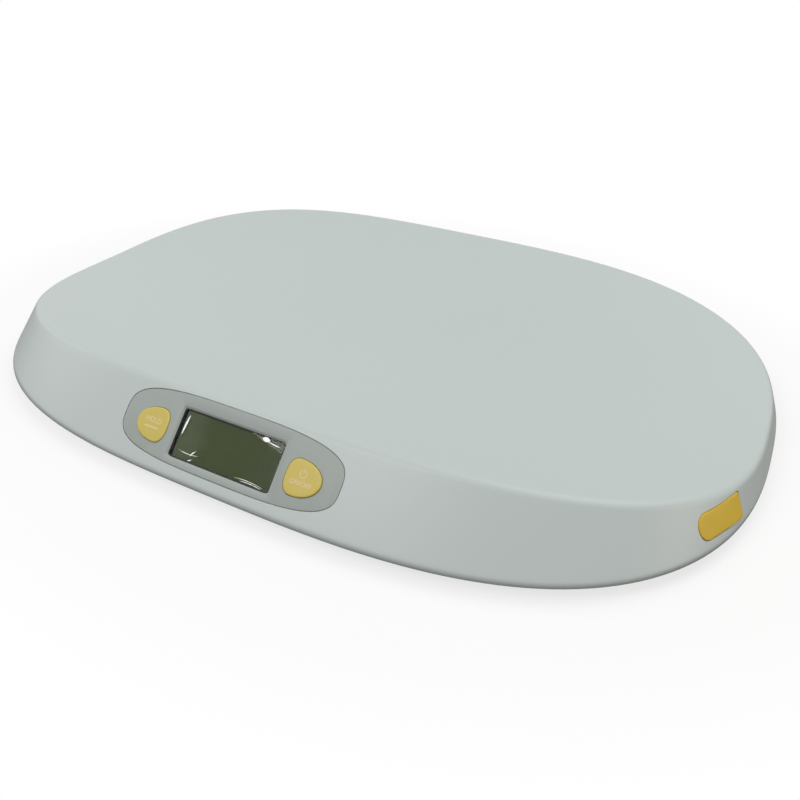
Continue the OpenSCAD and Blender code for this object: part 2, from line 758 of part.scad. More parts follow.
module battery_door() {
    color(base_grey) translate([bay_x, bay_y, base_z]) {
        difference() {
            translate([-bay_l / 2 + fit_gap, -bay_w / 2 + fit_gap, 0])
                cube([bay_l - 2 * fit_gap, bay_w - 2 * fit_gap, door_t]);
            for (k = [0 : grooves - 1])
                translate([-groove.x / 2, groove_from_edge - bay_w / 2 + groove_pitch * k, -past])
                    cube(groove + [0, 0, past]);
        }
        for (x = [-1, 1])
            translate([x * tab_pair_x - door_tab_w / 2, bay_w / 2 - fit_gap - tab_neck, floor_t + tab_lift]) {
                cube([door_tab_w, tab_neck + tab_reach, tab_hook_t]);
                translate([0, 0, door_t - weld - floor_t - tab_lift])
                    cube([door_tab_w, tab_neck, floor_t + tab_lift + weld - door_t + tab_hook_t]);
            }
        translate([-latch_w / 2, -bay_w / 2 + latch_back, door_t - weld])
            cube([latch_w, latch_t, latch_up + weld]);
        translate([-latch_w / 2, -bay_w / 2 - latch_reach, door_t + latch_up - latch_hook_t])
            cube([latch_w, latch_reach + latch_back + latch_t, latch_hook_t]);
    }
}
function cell_sign(k) = k % 2 == 0 ? 1 : -1;
module each_cell() {
    for (k = [0 : aaa_count - 1])
        translate([bay_x, bay_y + (k - (aaa_count - 1) / 2) * aaa_pitch, aaa_z])
            rotate([0, 0, cell_sign(k) > 0 ? 180 : 0]) children();
}
cap_h = 1;
cap_r = 1.9;
module battery_cells() {
    color([0.35, 0.38, 0.42]) each_cell() translate([bay_l / 2 - plate_metal_t - aaa_l, 0, 0]) rotate([0, 90, 0]) {
        cylinder(r = aaa_r, h = aaa_l - cap_h);
        cylinder(r = cap_r, h = aaa_l);
    }
}
contact_w = 9.2;
contact_h = 8.4;
module contact_plates() {
    color(steel) each_cell() for (x = [-bay_l / 2, bay_l / 2 - plate_metal_t])
        translate([x, -contact_w / 2, -contact_h / 2]) cube([plate_metal_t, contact_w, contact_h]);
}
spring_wire_r = 0.35;
spring_turns = 3.5;
spring_steps = 42;
// Radius of the spring's coils, at the plate and at the cell
coil_r = [3.9, 2.8];
module contact_springs() {
    start = -bay_l / 2 + plate_metal_t + spring_wire_r;
    reach = contact_l - 2 * spring_wire_r;
    path = [for (i = [0 : spring_steps])
        let (u = i / spring_steps, a = 360 * spring_turns * u, r = coil_r[0] + (coil_r[1] - coil_r[0]) * u)
        [start + reach * u, r * cos(a), r * sin(a)]];
    color(steel) each_cell() tube(path, spring_wire_r, 6);
}

// ---- leads ----------------------------------------------------------------------------

function unit(v) = v / norm(v);
// Direction of the path at point i
function along(path, i) = unit(path[min(i + 1, len(path) - 1)] - path[max(i - 1, 0)]);
// Directions square to the path, carried along it so that the tube doesn't twist
function carry_all(path, i = 0, done = []) = i == len(path) ? done
    : let (
        d = along(path, i),
        s = i == 0 ? unit(cross(d, abs(d.z) < 0.9 ? [0, 0, 1] : [1, 0, 0]))
            : unit(done[i - 1] - d * (done[i - 1] * d))
    ) carry_all(path, i + 1, concat(done, [s]));
module tube(path, r, sides) {
    last = len(path) - 1;
    side_dirs = carry_all(path);
    points = [for (i = [0 : last]) let (d = along(path, i), s = side_dirs[i], c = cross(d, s))
        for (k = [0 : sides - 1]) path[i] + r * (cos(360 * k / sides) * s + sin(360 * k / sides) * c)];
    faces = [
        for (i = [0 : last - 1], k = [0 : sides - 1]) let (n = (k + 1) % sides, a = i * sides, b = a + sides)
            each [[a + k, b + n, a + n], [a + k, b + k, b + n]],
        for (k = [1 : sides - 2]) each [[0, k, k + 1], [last * sides, last * sides + k + 1, last * sides + k]]
    ];
    polyhedron(points, faces, convexity = 8);
}
// Rounds each bend of a route: every inner point becomes a short curve
bend_steps = 4;
// Longest share of a stretch that a bend takes at each end
bend_share = 0.45;
function rounded(route, bend) = [
    route[0],
    for (i = [1 : len(route) - 2]) let (
        a = route[i] + unit(route[i - 1] - route[i]) * min(bend, norm(route[i - 1] - route[i]) * bend_share),
        b = route[i] + unit(route[i + 1] - route[i]) * min(bend, norm(route[i + 1] - route[i]) * bend_share)
    ) for (k = [0 : bend_steps]) curve(a, route[i], b, k / bend_steps),
    route[len(route) - 1]
];
lead_r = 0.8;
cell_lead_r = 1.1;
lead_bend = 7;
run_z = floor_z + 1.5;
// A point on the panel's frame, in the scale's own frame
function from_panel(p) = panel_mid + [
    p.x,
    p.y * cos(panel_tilt) - p.z * sin(panel_tilt),
    p.y * sin(panel_tilt) + p.z * cos(panel_tilt)
];
socket_mid = (socket_y[0] + socket_y[1]) / 2;
function socket_end(x) = [
    from_panel([x, socket_mid, board_back - socket_depth - 4]),
    from_panel([x, socket_mid, board_back - socket_depth + socket_grip])
];
function battery_route(side, turn_x, x) = concat([
        [bay_x - bay_l / 2, bay_y + side * lead_cell_y, aaa_z],
        [bay_x - bay_l / 2 - bay_wall - 5, bay_y + side * lead_cell_y, aaa_z],
        [turn_x, bay_y + side * lead_cell_y, run_z],
        [turn_x, -edge_b + 80, run_z],
        [x, -edge_b + 44, run_z]
    ], socket_end(x));
module red_lead() {
    color([0.75, 0.1, 0.08]) tube(rounded(battery_route(-1, bay_x - 38, -39), lead_bend), lead_r, 8);
}
module black_lead() {
    color(dark) tube(rounded(battery_route(1, bay_x - 42, -45), lead_bend), lead_r, 8);
}
// From a load cell up through its well's roof, down to the floor and to the board
function cell_route(x_side, y_side, mid, x) =
    let (p = [x_side * (edge_a - foot_end_inset), y_side * (edge_b - foot_side_inset) + lead_hole_at]) concat([
        [p.x, p.y, cell_z + cell_t + 0.6],
        [p.x, p.y, well_roof_z + 4.5],
        [p.x - x_side * (well_r + 6), p.y, well_roof_z + 4.5],
        [p.x - x_side * (well_r + 11), p.y - 3, run_z],
        for (m = mid) [m.x, m.y, run_z]
    ], socket_end(x));
cell_routes = [
    cell_route(-1, -1, [[-90, -edge_b + 48], [-58, -edge_b + 44]], -58),
    cell_route(-1, 1, [[-112, 60], [-112, -edge_b + 82], [-52, -edge_b + 44]], -52),
    cell_route(1, 1, [[112, 60], [112, -edge_b + 82], [44, -edge_b + 44]], 44),
    cell_route(1, -1, [[90, -edge_b + 48], [51, -edge_b + 44]], 51)
];
module cell_leads() {
    color(pale) for (r = cell_routes) tube(rounded(r, lead_bend), cell_lead_r, 8);
}
clips = [for (x = [-112, 112], y = [-60, 20]) [x, y]];
clip_w = 6;
clip_h = 4;
module lead_clips() {
    color(pale) for (c = clips) translate([c.x, c.y, floor_z]) difference() {
        translate([-clip_w / 2, -clip_w / 2, 0]) cube([clip_w, clip_w, clip_h]);
        translate([0, 0, run_z - floor_z]) rotate([90, 0, 0])
            cylinder(r = cell_lead_r + lead_play, h = clip_w + past, center = true);
    }
}

// ---- measuring tape ----------------------------------------------------------------------

tab_y = -edge_b + tab_from_front;
tab_share = tab_mid_up / (tray_z(tab_y) - edge_z);
tab_a = edge_a - end_flare * tab_share;
tab_b = edge_b - side_flare * tab_share;
tab_nx = edge_nx + (rim_nx - edge_nx) * tab_share;
tab_ny = edge_ny + (rim_ny - edge_ny) * tab_share;
tab_x = tab_a * pow(1 - pow(abs(tab_y) / tab_b, tab_ny), 1 / tab_nx);
pull = outward(tab_a, tab_b, tab_nx, tab_ny, [tab_x, tab_y]);
pull_angle = atan2(pull.y, pull.x);
tab_z = edge_z + tab_mid_up;
// The tab's frame: X along the pull, Y along the wall, Z up
module at_tab() {
    translate([tab_x, tab_y, tab_z]) rotate([0, 0, pull_angle]) children();
}
module at_spool() {
    translate([tab_x, tab_y, 0]) rotate([0, 0, pull_angle]) translate([-tape_back, -roll_r, 0]) children();
}
// Round at the front end and square at the other
module tab_shape(grow, low, high) {
    r = tab_h / 2 + grow;
    translate([low, 0, 0]) rotate([90, 0, 90]) linear_extrude(high - low) union() {
        translate([-tab_w / 2 + tab_h / 2, 0]) circle(r = r);
        translate([-tab_w / 2 + tab_h / 2, -r]) square([tab_w - tab_h / 2 + grow, 2 * r]);
    }
}
// The tab's face follows the wall, which bends by this radius and leans by this angle
tab_bend_r = 160;
tab_cone_h = 24;
tab_reach_out = 3;
// Share of the wall's mean lean that it has where the tab is
lean_share = 0.62;
wall_lean = atan2(lean_share * (end_flare + side_flare) / 2, tray_z(tab_y) - edge_z);
// The slot in the tab's back that holds the end of the tape
blade_slot_half = 0.6;
blade_slot_in = 3;
blade_end_gap = 0.1;
module tape_tab() {
    cone_in = tab_cone_h / 2 * tan(wall_lean);
    color(button_yellow) at_tab() difference() {
        intersection() {
            tab_shape(0, -tab_t, tab_reach_out);
            translate([-tab_bend_r, 0, 0]) cylinder(r1 = tab_bend_r + cone_in, r2 = tab_bend_r - cone_in,
                h = tab_cone_h, center = true, $fn = 180);
        }
        bar([-tab_t - past, -blade_slot_half, tape_low - tab_z - fit_gap],
            [-tab_t + blade_slot_in, blade_slot_half, tape_low - tab_z + tape_w + fit_gap]);
    }
}
// The case stands on ears over the floor, and the spool turns in it on an axle
case_lift = 5;
case_floor_t = 1.5;
spool_gap = 0.3;
flange_t = 0.9;
flange_gap = 0.9;
tape_gap = 0.2;
cover_t = 1.4;
case_wall = 1.8;
tape_case_z = floor_z + case_lift;
spool_z = tape_case_z + case_floor_t + spool_gap;
flange_r = tape_case_r - flange_gap;
tape_low = spool_z + flange_t + tape_gap;
spool_h = 2 * flange_t + tape_w + 2 * tape_gap;
case_inner_top = spool_z + spool_h + spool_gap;
case_r = tape_case_r + case_wall;
// The snout guides the tape from the case to the tab
snout_gap = 3;
snout_half = 3;
channel_half = 0.9;
snout_end = tape_back - tab_t - snout_gap;
ear_r = 3.4;
ear_out = 1.6;
ear_at = case_r + ear_out;
ear_hole = 4;
ear_grip = 3;
tape_ears = [for (a = [150, 215, 290]) ear_at * [cos(a), sin(a)]];
// The case's outline: round, with the snout and the ears
module case_body(low, high) {
    translate([0, 0, low]) cylinder(r = case_r, h = high - low, $fn = 72);
    bar([0, roll_r - snout_half, low], [snout_end, roll_r + snout_half, high]);
    for (p = tape_ears) translate([p.x, p.y, low]) cylinder(r = ear_r, h = high - low);
}
module ear_holes(low, high) {
    for (p = tape_ears) translate([p.x, p.y, low - past])
        cylinder(r = board_screw_r + shaft_gap, h = high - low + 2 * past);
}
module tape_case() {
    inner_z = tape_case_z + case_floor_t;
    color(dark) at_spool() difference() {
        case_body(tape_case_z, case_inner_top);
        translate([0, 0, inner_z]) cylinder(r = tape_case_r, h = case_inner_top - inner_z + past, $fn = 72);
        bar([0, roll_r - channel_half, inner_z], [snout_end + past, roll_r + channel_half, case_inner_top + past]);
        translate([0, 0, tape_case_z - past]) cylinder(r = axle_r, h = case_floor_t + 2 * past);
        ear_holes(tape_case_z, case_inner_top);
    }
}
module tape_cover() {
    color(dark) at_spool() difference() {
        case_body(case_inner_top, case_inner_top + cover_t);
        ear_holes(case_inner_top, case_inner_top + cover_t);
    }
}
axle_r = 3;
axle_gap = 0.1;
// The slit that holds the inner end of the spring
slit_w = 0.6;
slit_ends = [1, 2.5];
module tape_axle() {
    color(steel) at_spool() difference() {
        translate([0, 0, tape_case_z]) cylinder(r = axle_r, h = case_inner_top - axle_gap - tape_case_z);
        bar([-slit_w / 2, -axle_r - past, spool_z + slit_ends[0]], [slit_w / 2, 0, spool_z + spool_h - slit_ends[1]]);
    }
}
hub_wall = 1.3;
spring_room_r = hub_r - hub_wall;
spool_cap_t = 2;
module tape_spool() {
    color(pale) at_spool() difference() {
        translate([0, 0, spool_z]) union() {
            cylinder(r = flange_r, h = flange_t);
            cylinder(r = hub_r, h = spool_h);
            translate([0, 0, spool_h - flange_t]) cylinder(r = flange_r, h = flange_t);
        }
        translate([0, 0, spool_z - past]) cylinder(r = spring_room_r, h = spool_h - spool_cap_t + past);
        translate([0, 0, spool_z - past]) cylinder(r = axle_r + shaft_gap, h = spool_h + 2 * past);
    }
}
roll_gap = 0.05;
hub_gap = 0.02;
module tape_roll() {
    color(tape_cream) at_spool() translate([0, 0, tape_low]) difference() {
        cylinder(r = roll_r - tape_t - roll_gap, h = tape_w);
        translate([0, 0, -past]) cylinder(r = hub_r + hub_gap, h = tape_w + 2 * past);
    }
}
// The power spring: a strip wound in a spiral between the axle and the hub
coil_turns = 5;
coil_steps = 100;
coil_t = 0.3;
coil_gap = 0.3;
coil_lift = 0.6;
module tape_spring() {
    from = axle_r + coil_gap;
    to = spring_room_r - coil_t - roll_gap;
    function side(off) = [for (i = [0 : coil_steps])
        let (u = i / coil_steps, a = 360 * coil_turns * u) (from + (to - from) * u + off) * [cos(a), sin(a)]];
    inner = side(0);
    color(steel) at_spool() translate([0, 0, spool_z + coil_lift])
        linear_extrude(spool_h - spool_cap_t - 2 * coil_lift)
            polygon(concat(side(coil_t), [for (i = [coil_steps : -1 : 0]) inner[i]]));
}
module tape_blade() {
    color(tape_cream) at_tab() bar([-tape_back, -tape_t, tape_low - tab_z],
        [-tab_t + blade_slot_in - blade_end_gap, 0, tape_low - tab_z + tape_w]);
}
module tape_screws() {
    low = tape_case_z - ear_grip;
    high = case_inner_top + cover_t;
    color(steel) at_spool() for (p = tape_ears) translate([p.x, p.y, low]) {
        cylinder(r = board_screw_r, h = high - low);
        translate([0, 0, high - low]) cylinder(r = small_head_r, h = small_head_t);
    }
}

top_shell();
base_shell();
display_bezel();
display_window();
lcd_glass();
lcd_holder();
lcd_connector();
circuit_board();
controller_chip();
board_capacitors();
lead_sockets();
switch_housings();
hold_button();
hold_plunger();
power_button();
power_plunger();
board_screws();
load_cells();
strain_gauges();
foot_holders();
foot_pads();
cell_screws();
case_screws();
battery_door();
battery_cells();
contact_plates();
contact_springs();
red_lead();
black_lead();
cell_leads();
lead_clips();
tape_case();
tape_cover();
tape_axle();
tape_spool();
tape_roll();
tape_spring();
tape_blade();
tape_tab();
tape_screws();
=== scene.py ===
# %% [markdown]
# # A digital baby scale
# The real object is a flat white casing whose top is a shallow trough for a lying baby. A
# silver-grey panel with a small display and two yellow buttons sits in the sloping front wall,
# and the yellow pull tab of a measuring tape sits in the right-hand end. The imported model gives
# every part its place, so this lesson starts from it and adds looks.

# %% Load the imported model
import json
from math import atan2, copysign, cos, pi, radians, sin, sqrt, tan

import bmesh
import bpy
from mathutils import Matrix, Vector


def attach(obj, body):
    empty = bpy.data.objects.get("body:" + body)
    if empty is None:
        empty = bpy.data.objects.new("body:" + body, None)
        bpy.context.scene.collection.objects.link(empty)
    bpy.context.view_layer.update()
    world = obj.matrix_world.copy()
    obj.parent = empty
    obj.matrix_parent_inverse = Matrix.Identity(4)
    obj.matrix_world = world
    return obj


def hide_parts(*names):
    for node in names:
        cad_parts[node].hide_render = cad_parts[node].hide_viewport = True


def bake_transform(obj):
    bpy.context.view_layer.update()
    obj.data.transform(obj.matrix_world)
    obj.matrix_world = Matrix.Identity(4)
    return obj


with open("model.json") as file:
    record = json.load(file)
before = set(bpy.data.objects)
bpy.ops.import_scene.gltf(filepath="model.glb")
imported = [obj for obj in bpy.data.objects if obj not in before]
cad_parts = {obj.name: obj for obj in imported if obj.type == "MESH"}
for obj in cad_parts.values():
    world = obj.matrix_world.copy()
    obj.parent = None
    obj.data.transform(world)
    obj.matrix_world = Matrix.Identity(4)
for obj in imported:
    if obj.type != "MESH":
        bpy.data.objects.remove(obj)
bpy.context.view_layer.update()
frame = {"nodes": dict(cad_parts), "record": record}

MM = 0.001
X, Y, Z = (1, 0, 0), (0, 1, 0), (0, 0, 1)
RECORD = frame["record"]
SLOT_OF = {part["node"]: part["material_slot"] for part in RECORD["subparts"]}
BODY_OF = {node: body for body, nodes in RECORD["behaviour"]["bodies"].items() for node in nodes}


def mm(*values):
    """A point or a step that is given in millimetres, in Blender's metres."""
    return Vector(values) * MM


# %% [markdown]
# ## The camera
# A photograph tells the direction that it was taken from and how strong its perspective is. So
# the camera is given as an azimuth, an elevation, a small roll and a distance, and its axes are
# worked out. Azimuth 0 looks at the front wall, and a positive one walks towards the tab's end.

# %% Make the camera
AZIMUTH, ELEVATION, ROLL = radians(28.287), radians(33.715), radians(0.456)
DISTANCE, LOOKED_AT = 551.23 * MM, mm(27.24, -14.90, -21.24)
SENSOR_MM, LENS_MM = 36, 33.327
back = Vector((sin(AZIMUTH) * cos(ELEVATION), -cos(AZIMUTH) * cos(ELEVATION), sin(ELEVATION)))
level = Vector(Z).cross(back).normalized()
upright = back.cross(level)
right = cos(ROLL) * level + sin(ROLL) * upright
above = cos(ROLL) * upright - sin(ROLL) * level
axes = Matrix((right, above, back)).transposed().to_4x4()
camera = bpy.data.objects.new("camera", bpy.data.cameras.new("camera"))
camera.matrix_world = Matrix.Translation(LOOKED_AT + back * DISTANCE) @ axes
camera.data.sensor_width, camera.data.lens = SENSOR_MM, LENS_MM
bpy.context.scene.collection.objects.link(camera)
bpy.context.scene.camera = camera
bpy.context.scene.view_settings.view_transform = "Standard"
print("camera at", [round(c, 3) for c in camera.location])

# %% [markdown]
# ## Writing a material as sums
# A finish is a small sum: a base colour, plus a little cloudiness, plus a fine grain in the
# surface. Placed by hand, each + and x is a Math node and two links. This class wraps one socket
# of a node tree, and a loop gives it the operators, so that the sum can be written as it is read.

# %% A class that wraps a socket
class Shade:
    """One output socket of a material's nodes. Operators on it add Math nodes."""

    def __init__(self, tree, socket=None):
        self.tree, self.socket = tree, socket

    def node(self, kind, inputs=None, out=0, **settings):
        """Adds any node: its settings first, then the values or links of its sockets."""
        made = self.tree.nodes.new("ShaderNode" + kind)
        for name, value in settings.items():
            setattr(made, name, value)
        for key, value in (inputs or {}).items():
            if isinstance(value, Shade):
                self.tree.links.new(value.socket, made.inputs[key])
            else:
                made.inputs[key].default_value = value
        return Shade(self.tree, made.outputs[out])

    def maths(self, operation, *values):
        return self.node("Math", dict(enumerate(values)), operation=operation)

    def __rsub__(self, other):
        return self.maths("SUBTRACT", other, self)

    def along(self, direction, origin=(0, 0, 0)):
        """How far a point lies along a direction from an origin, in millimetres."""
        step = self.node("VectorMath", {0: self, 1: Vector(origin)}, operation="SUBTRACT")
        length = self.node("VectorMath", {0: step, 1: Vector(direction)}, out=1,
                           operation="DOT_PRODUCT")
        return length / MM

    def near(self, spacing):
        """The distance to the nearest whole multiple of a spacing."""
        return self.maths("PINGPONG", self, spacing / 2)

    def noise(self, size, detail=2.0, stretch=(1, 1, 1)):
        """Cloudy numbers from 0 to 1, about 0.5, with clouds of a size in millimetres."""
        seen = self
        if stretch != (1, 1, 1):
            seen = self.node("Mapping", {0: self, 3: Vector(stretch)})
        return self.node("TexNoise",
                         {"Vector": seen, "Scale": 1 / (size * MM), "Detail": detail})

    def blend(self, first, second):
        """The first colour where this is 0, and the second where it is 1."""
        first, second = [c if isinstance(c, Shade) else (*c, 1) for c in (first, second)]
        return self.node("Mix", {0: self, 6: first, 7: second}, out=2, data_type="RGBA")

    def mix(self, first, second):
        """The same for two whole shaders."""
        return self.node("MixShader", {0: self, 1: first, 2: second})

    def clear(self, tint=(1, 1, 1)):
        """A shader that lets all light pass, or all light of a tint."""
        return self.node("BsdfTransparent", {"Color": (*tint, 1)})


SUMS = {"add": "ADD", "radd": "ADD", "sub": "SUBTRACT", "mul": "MULTIPLY", "rmul": "MULTIPLY",
        "truediv": "DIVIDE", "pow": "POWER", "lt": "LESS_THAN", "gt": "GREATER_THAN"}
for name, operation in SUMS.items():
    setattr(Shade, f"__{name}__",
            lambda self, other, operation=operation: self.maths(operation, self, other))
print("operators ready:", *SUMS)

# %% [markdown]
# ## One base for most finishes
# Nearly every surface here is moulded plastic, rubber or plated steel. Up close none of them is
# one flat colour: the tone drifts over centimetres, and a fine grain breaks the highlight. The
# grain is finer than a pixel, so a Bump node makes it, and not geometry.

# %% A finish with drift and grain
def linear(*screen):
    """A colour written as on a screen, 0 to 255, turned into the light that it stands for."""
    return tuple(c / 255 / 12.92 if c < 11 else ((c / 255 + 0.055) / 1.055) ** 2.4 for c in screen)


def start(name, roughness, **fixed):
    """A new material: its Principled shader, and the point that is being shaded."""
    material = bpy.data.materials.new(name)
    material.use_nodes = True
    tree = material.node_tree
    shader = tree.nodes["Principled BSDF"]
    shader.inputs["Roughness"].default_value = roughness
    for socket, value in fixed.items():
        shader.inputs[socket.replace("_", " ")].default_value = value
    point = Shade(tree).node("TexCoord", out="Object")
    return material, shader, point


def join(shader, socket, value):
    """Feeds a socket of the shader."""
    value.tree.links.new(value.socket, shader.inputs[socket])


def show(material, shown):
    """Makes a mix of shaders the material's surface."""
    join(material.node_tree.nodes["Material Output"], "Surface", shown)


def limited(value, low=0.0, high=1.0):
    return value.node("Clamp", {"Value": value, "Min": low, "Max": high})


def bumped(height, strength, depth):
    """Normals for a relief of a depth in millimetres."""
    return height.node("Bump",
                       {"Strength": strength, "Distance": depth * MM, "Height": height})


FINE_SHARE, DRIFT_REACH = 0.3, 1.6
SHADED_TONE, SHADE_REACH = 0.62, 2


def surface(name, colour, roughness, drift=(0.03, 60), grain=(0.1, 0.5),
            uneven=0.06, stretch=(1, 1, 1), depth=0.02, shade_z=None, **fixed):
    """A finish whose tone drifts by a share over a size, with grain of a strength and a size, in
    millimetres. Below shade_z the colour is darkened by painted shade, as on an edge that faces
    the table."""
    material, shader, point = start(name, roughness, **fixed)
    cloud = point.noise(drift[1])
    fine = point.noise(grain[1], detail=3, stretch=stretch)
    ends = [[c * (1 + reach * drift[0]) for c in colour] for reach in (-DRIFT_REACH, DRIFT_REACH)]
    tone = (cloud * (1 - FINE_SHARE) + fine * FINE_SHARE).blend(*ends)
    # Painted shade: below shade_z the colour sinks to SHADED_TONE of itself, and is full again
    # SHADE_REACH mm higher.
    if shade_z is not None:
        lit = limited((point.along(Z) - shade_z) / SHADE_REACH)
        tone = lit.blend([c * SHADED_TONE for c in colour], tone)
    join(shader, "Base Color", tone)
    join(shader, "Roughness", roughness - uneven / 2 + fine * uneven)
    join(shader, "Normal", bumped(fine, grain[0], depth))
    return material


def metal(name, colour, roughness, stretch=(1, 1, 1), **more):
    """Bare or plated metal, whose grain is drawn out along one direction if it is brushed."""
    return surface(name, colour, roughness, stretch=stretch, Metallic=1.0, **more)


# shade_z paints shade on the casing's lower edge, the part that faces the table.
white_casing = surface("white_casing", linear(194, 204, 201), 0.38, drift=(0.012, 150),
                       grain=(0.25, 0.6), depth=0.012, uneven=0.05, shade_z=9.8)
grey_base = surface("grey_base", linear(168, 171, 169), 0.6, grain=(0.6, 0.45), depth=0.03)
panel_paint = surface("silver_grey_panel", linear(161, 169, 163), 0.5, drift=(0.015, 40),
                      grain=(0.3, 0.25), depth=0.01)
button_plastic = surface("button_yellow", linear(208, 188, 89), 0.42, drift=(0.015, 9),
                         grain=(0.3, 0.3), depth=0.01)
tab_plastic = surface("tab_yellow", linear(213, 180, 42), 0.45, drift=(0.02, 9),
                      grain=(0.4, 0.35), depth=0.015)
black_plastic = surface("black_plastic", (0.022, 0.022, 0.024), 0.45, grain=(0.5, 0.5))
print("finishes so far:", len(bpy.data.materials))

# %% [markdown]
# ## A skin made ring by ring
# The casing, the panel, the buttons and the tab are all the same kind of shape: one outline that
# grows, shrinks and rises. A ring of vertices that is extruded again and again makes them all.
# Each vertex remembers its share of the way round in a layer, and a function says where that
# share lies on each level. A level on which the ring shrinks to a point closes the skin.

# %% Ring by ring
def cleaned(bm):
    """Joins points that fell together, and turns every face outward."""
    bmesh.ops.remove_doubles(bm, verts=bm.verts, dist=0.0005 * MM)
    bmesh.ops.recalc_face_normals(bm, faces=bm.faces)
    return bm


def loft(steps, levels, place, closed=True):
    """A bmesh skin through levels. place(turn, level) gives a point, with turn from 0 to 1."""
    bm = bmesh.new()
    turn = bm.verts.layers.float.new("turn")
    ring = bmesh.ops.create_circle(bm, segments=steps, radius=1)["verts"]
    for v in ring:
        v[turn] = atan2(v.co.y, v.co.x) / (2 * pi) % 1
    for v in ring:
        v.co = place(v[turn], levels[0])
    rim = bm.edges[:]
    first = rim[:]
    for level in levels[1:]:
        made = bmesh.ops.extrude_edge_only(bm, edges=rim)["geom"]
        fresh = {v for v in made if isinstance(v, bmesh.types.BMVert)}
        for v in fresh:
            v.co = place(v[turn], level)
        rim = [e for e in made if isinstance(e, bmesh.types.BMEdge) and set(e.verts) <= fresh]
    if closed:
        bmesh.ops.holes_fill(bm, edges=first + rim, sides=0)
    return cleaned(bm)


def power(value, exponent):
    return copysign(abs(value) ** exponent, value)


def superellipse(turn, half_x, half_y, nx, ny, spread=0.0):
    """A point of a rounded outline. Spread moves points from its flat sides to its corners."""
    t = 2 * pi * turn - spread * sin(8 * pi * turn)
    return Vector((half_x * power(cos(t), 2 / nx), half_y * power(sin(t), 2 / ny)))


def bezier(a, b, c, share):
    return (1 - share) ** 2 * a + 2 * share * (1 - share) * b + share ** 2 * c


def shares(count):
    """Evenly spaced shares up to 1, with 0 left out."""
    return [(k + 1) / count for k in range(count)]


def quarter_round(*angles):
    """How far a rounded edge has come in and is below its top, as shares of its radius."""
    return [(1 - cos(a), 1 - sin(a)) for a in (*angles, pi / 2)]


def report(what, bm):
    open_edges = sum(not e.is_manifold for e in bm.edges)
    print(what, "has", len(bm.faces), "faces and", open_edges, "open edges")


test = loft(32, [0, 1, 2], lambda turn, z: Vector((*superellipse(turn, 2, 1, 3, 3), z)))
report("a test skin", test)
test.free()

# %% [markdown]
# ## Turning skins into pieces
# A piece needs a mesh, a finish, smooth shading that stops at real edges, a body to ride on, and
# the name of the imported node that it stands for. Openings are cut with Boolean modifiers, which
# are applied at once, because the exact solver keeps a closed skin closed.

# %% Pieces and cuts
def as_object(name, bm):
    mesh = bpy.data.meshes.new(name)
    bm.to_mesh(mesh)
    bm.free()
    made = bpy.data.objects.new(name, mesh)
    bpy.context.scene.collection.objects.link(made)
    return made


def applied(made):
    """The object's modifiers go into its mesh."""
    graph = bpy.context.evaluated_depsgraph_get()
    graph.update()
    mesh = bpy.data.meshes.new_from_object(made.evaluated_get(graph))
    made.modifiers.clear()
    made.data = mesh


def carve(bm, *cutters):
    """Cuts skins out of a skin. All of them are used up."""
    made = as_object("carved", bm)
    for cutter in cutters:
        tool = as_object("cutter", cutter)
        cut = made.modifiers.new("cut", "BOOLEAN")
        cut.object, cut.operation, cut.solver = tool, "DIFFERENCE", "EXACT"
        applied(made)
        bpy.data.objects.remove(tool)
    bm = bmesh.new()
    bm.from_mesh(made.data)
    bpy.data.objects.remove(made)
    return bm


def piece(name, bm, finishes, node=None, body=None, slot=None, sharp=35, rides=True, weigh=False):
    """A bmesh becomes a piece. The node that it stands for tells its body; its slot is not used.
    Weighed normals lean to the larger faces, so that a flat side stays flat beside a softened edge."""
    made = as_object(name, bm)
    for finish in finishes if isinstance(finishes, list) else [finishes]:
        made.data.materials.append(finish)
    made.data.shade_smooth()
    made.data.set_sharp_from_angle(angle=radians(sharp))
    if weigh:
        modifier = made.modifiers.new("weigh", "WEIGHTED_NORMAL")
        modifier.keep_sharp, modifier.weight = True, 100
        applied(made)
    if rides:
        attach(made, body or BODY_OF[node])
    if node:
        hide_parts(node)
    slot or SLOT_OF[node]
    print(f"{name}: {len(made.data.polygons)} faces")
    return made


# %% [markdown]
# ## The casing
# The casing is one moulding: a sloping wall that rolls under at its lower edge, a soft rim, and a
# tray that is low along the middle and rises to the front and the back. The wall stands between
# two outlines. Levels run from the middle of the tray over the rim, down the wall, round the edge
# and back along the inside.

# %% The casing's outlines and tray
EDGE = (275.0, 192.5, 3.1, 2.55)
RIM = (268.5, 154.8, 3.25, 2.6)
EDGE_Z, TRAY_LOW_Z, TRAY_RISE = 10.0, 27.6, 20.0
WALL, RIM_SOFT, EDGE_SOFT = 3.0, 4.0, 4.5
LIP_DROP, LIP_LEAN, LIP_SHARE = 2.5, 0.8, 0.8
SPREAD = radians(8.6)


def tray_z(y):
    return TRAY_LOW_Z + TRAY_RISE * (y / RIM[1]) ** 2


def outward(outline, p):
    """The direction square to an outline at a point."""
    a, b, nx, ny = outline
    return Vector((nx / a * power(p.x / a, nx - 1), ny / b * power(p.y / b, ny - 1))).normalized()


def on_tray(p, drop=0.0):
    return Vector((p.x, p.y, tray_z(p.y) - drop))


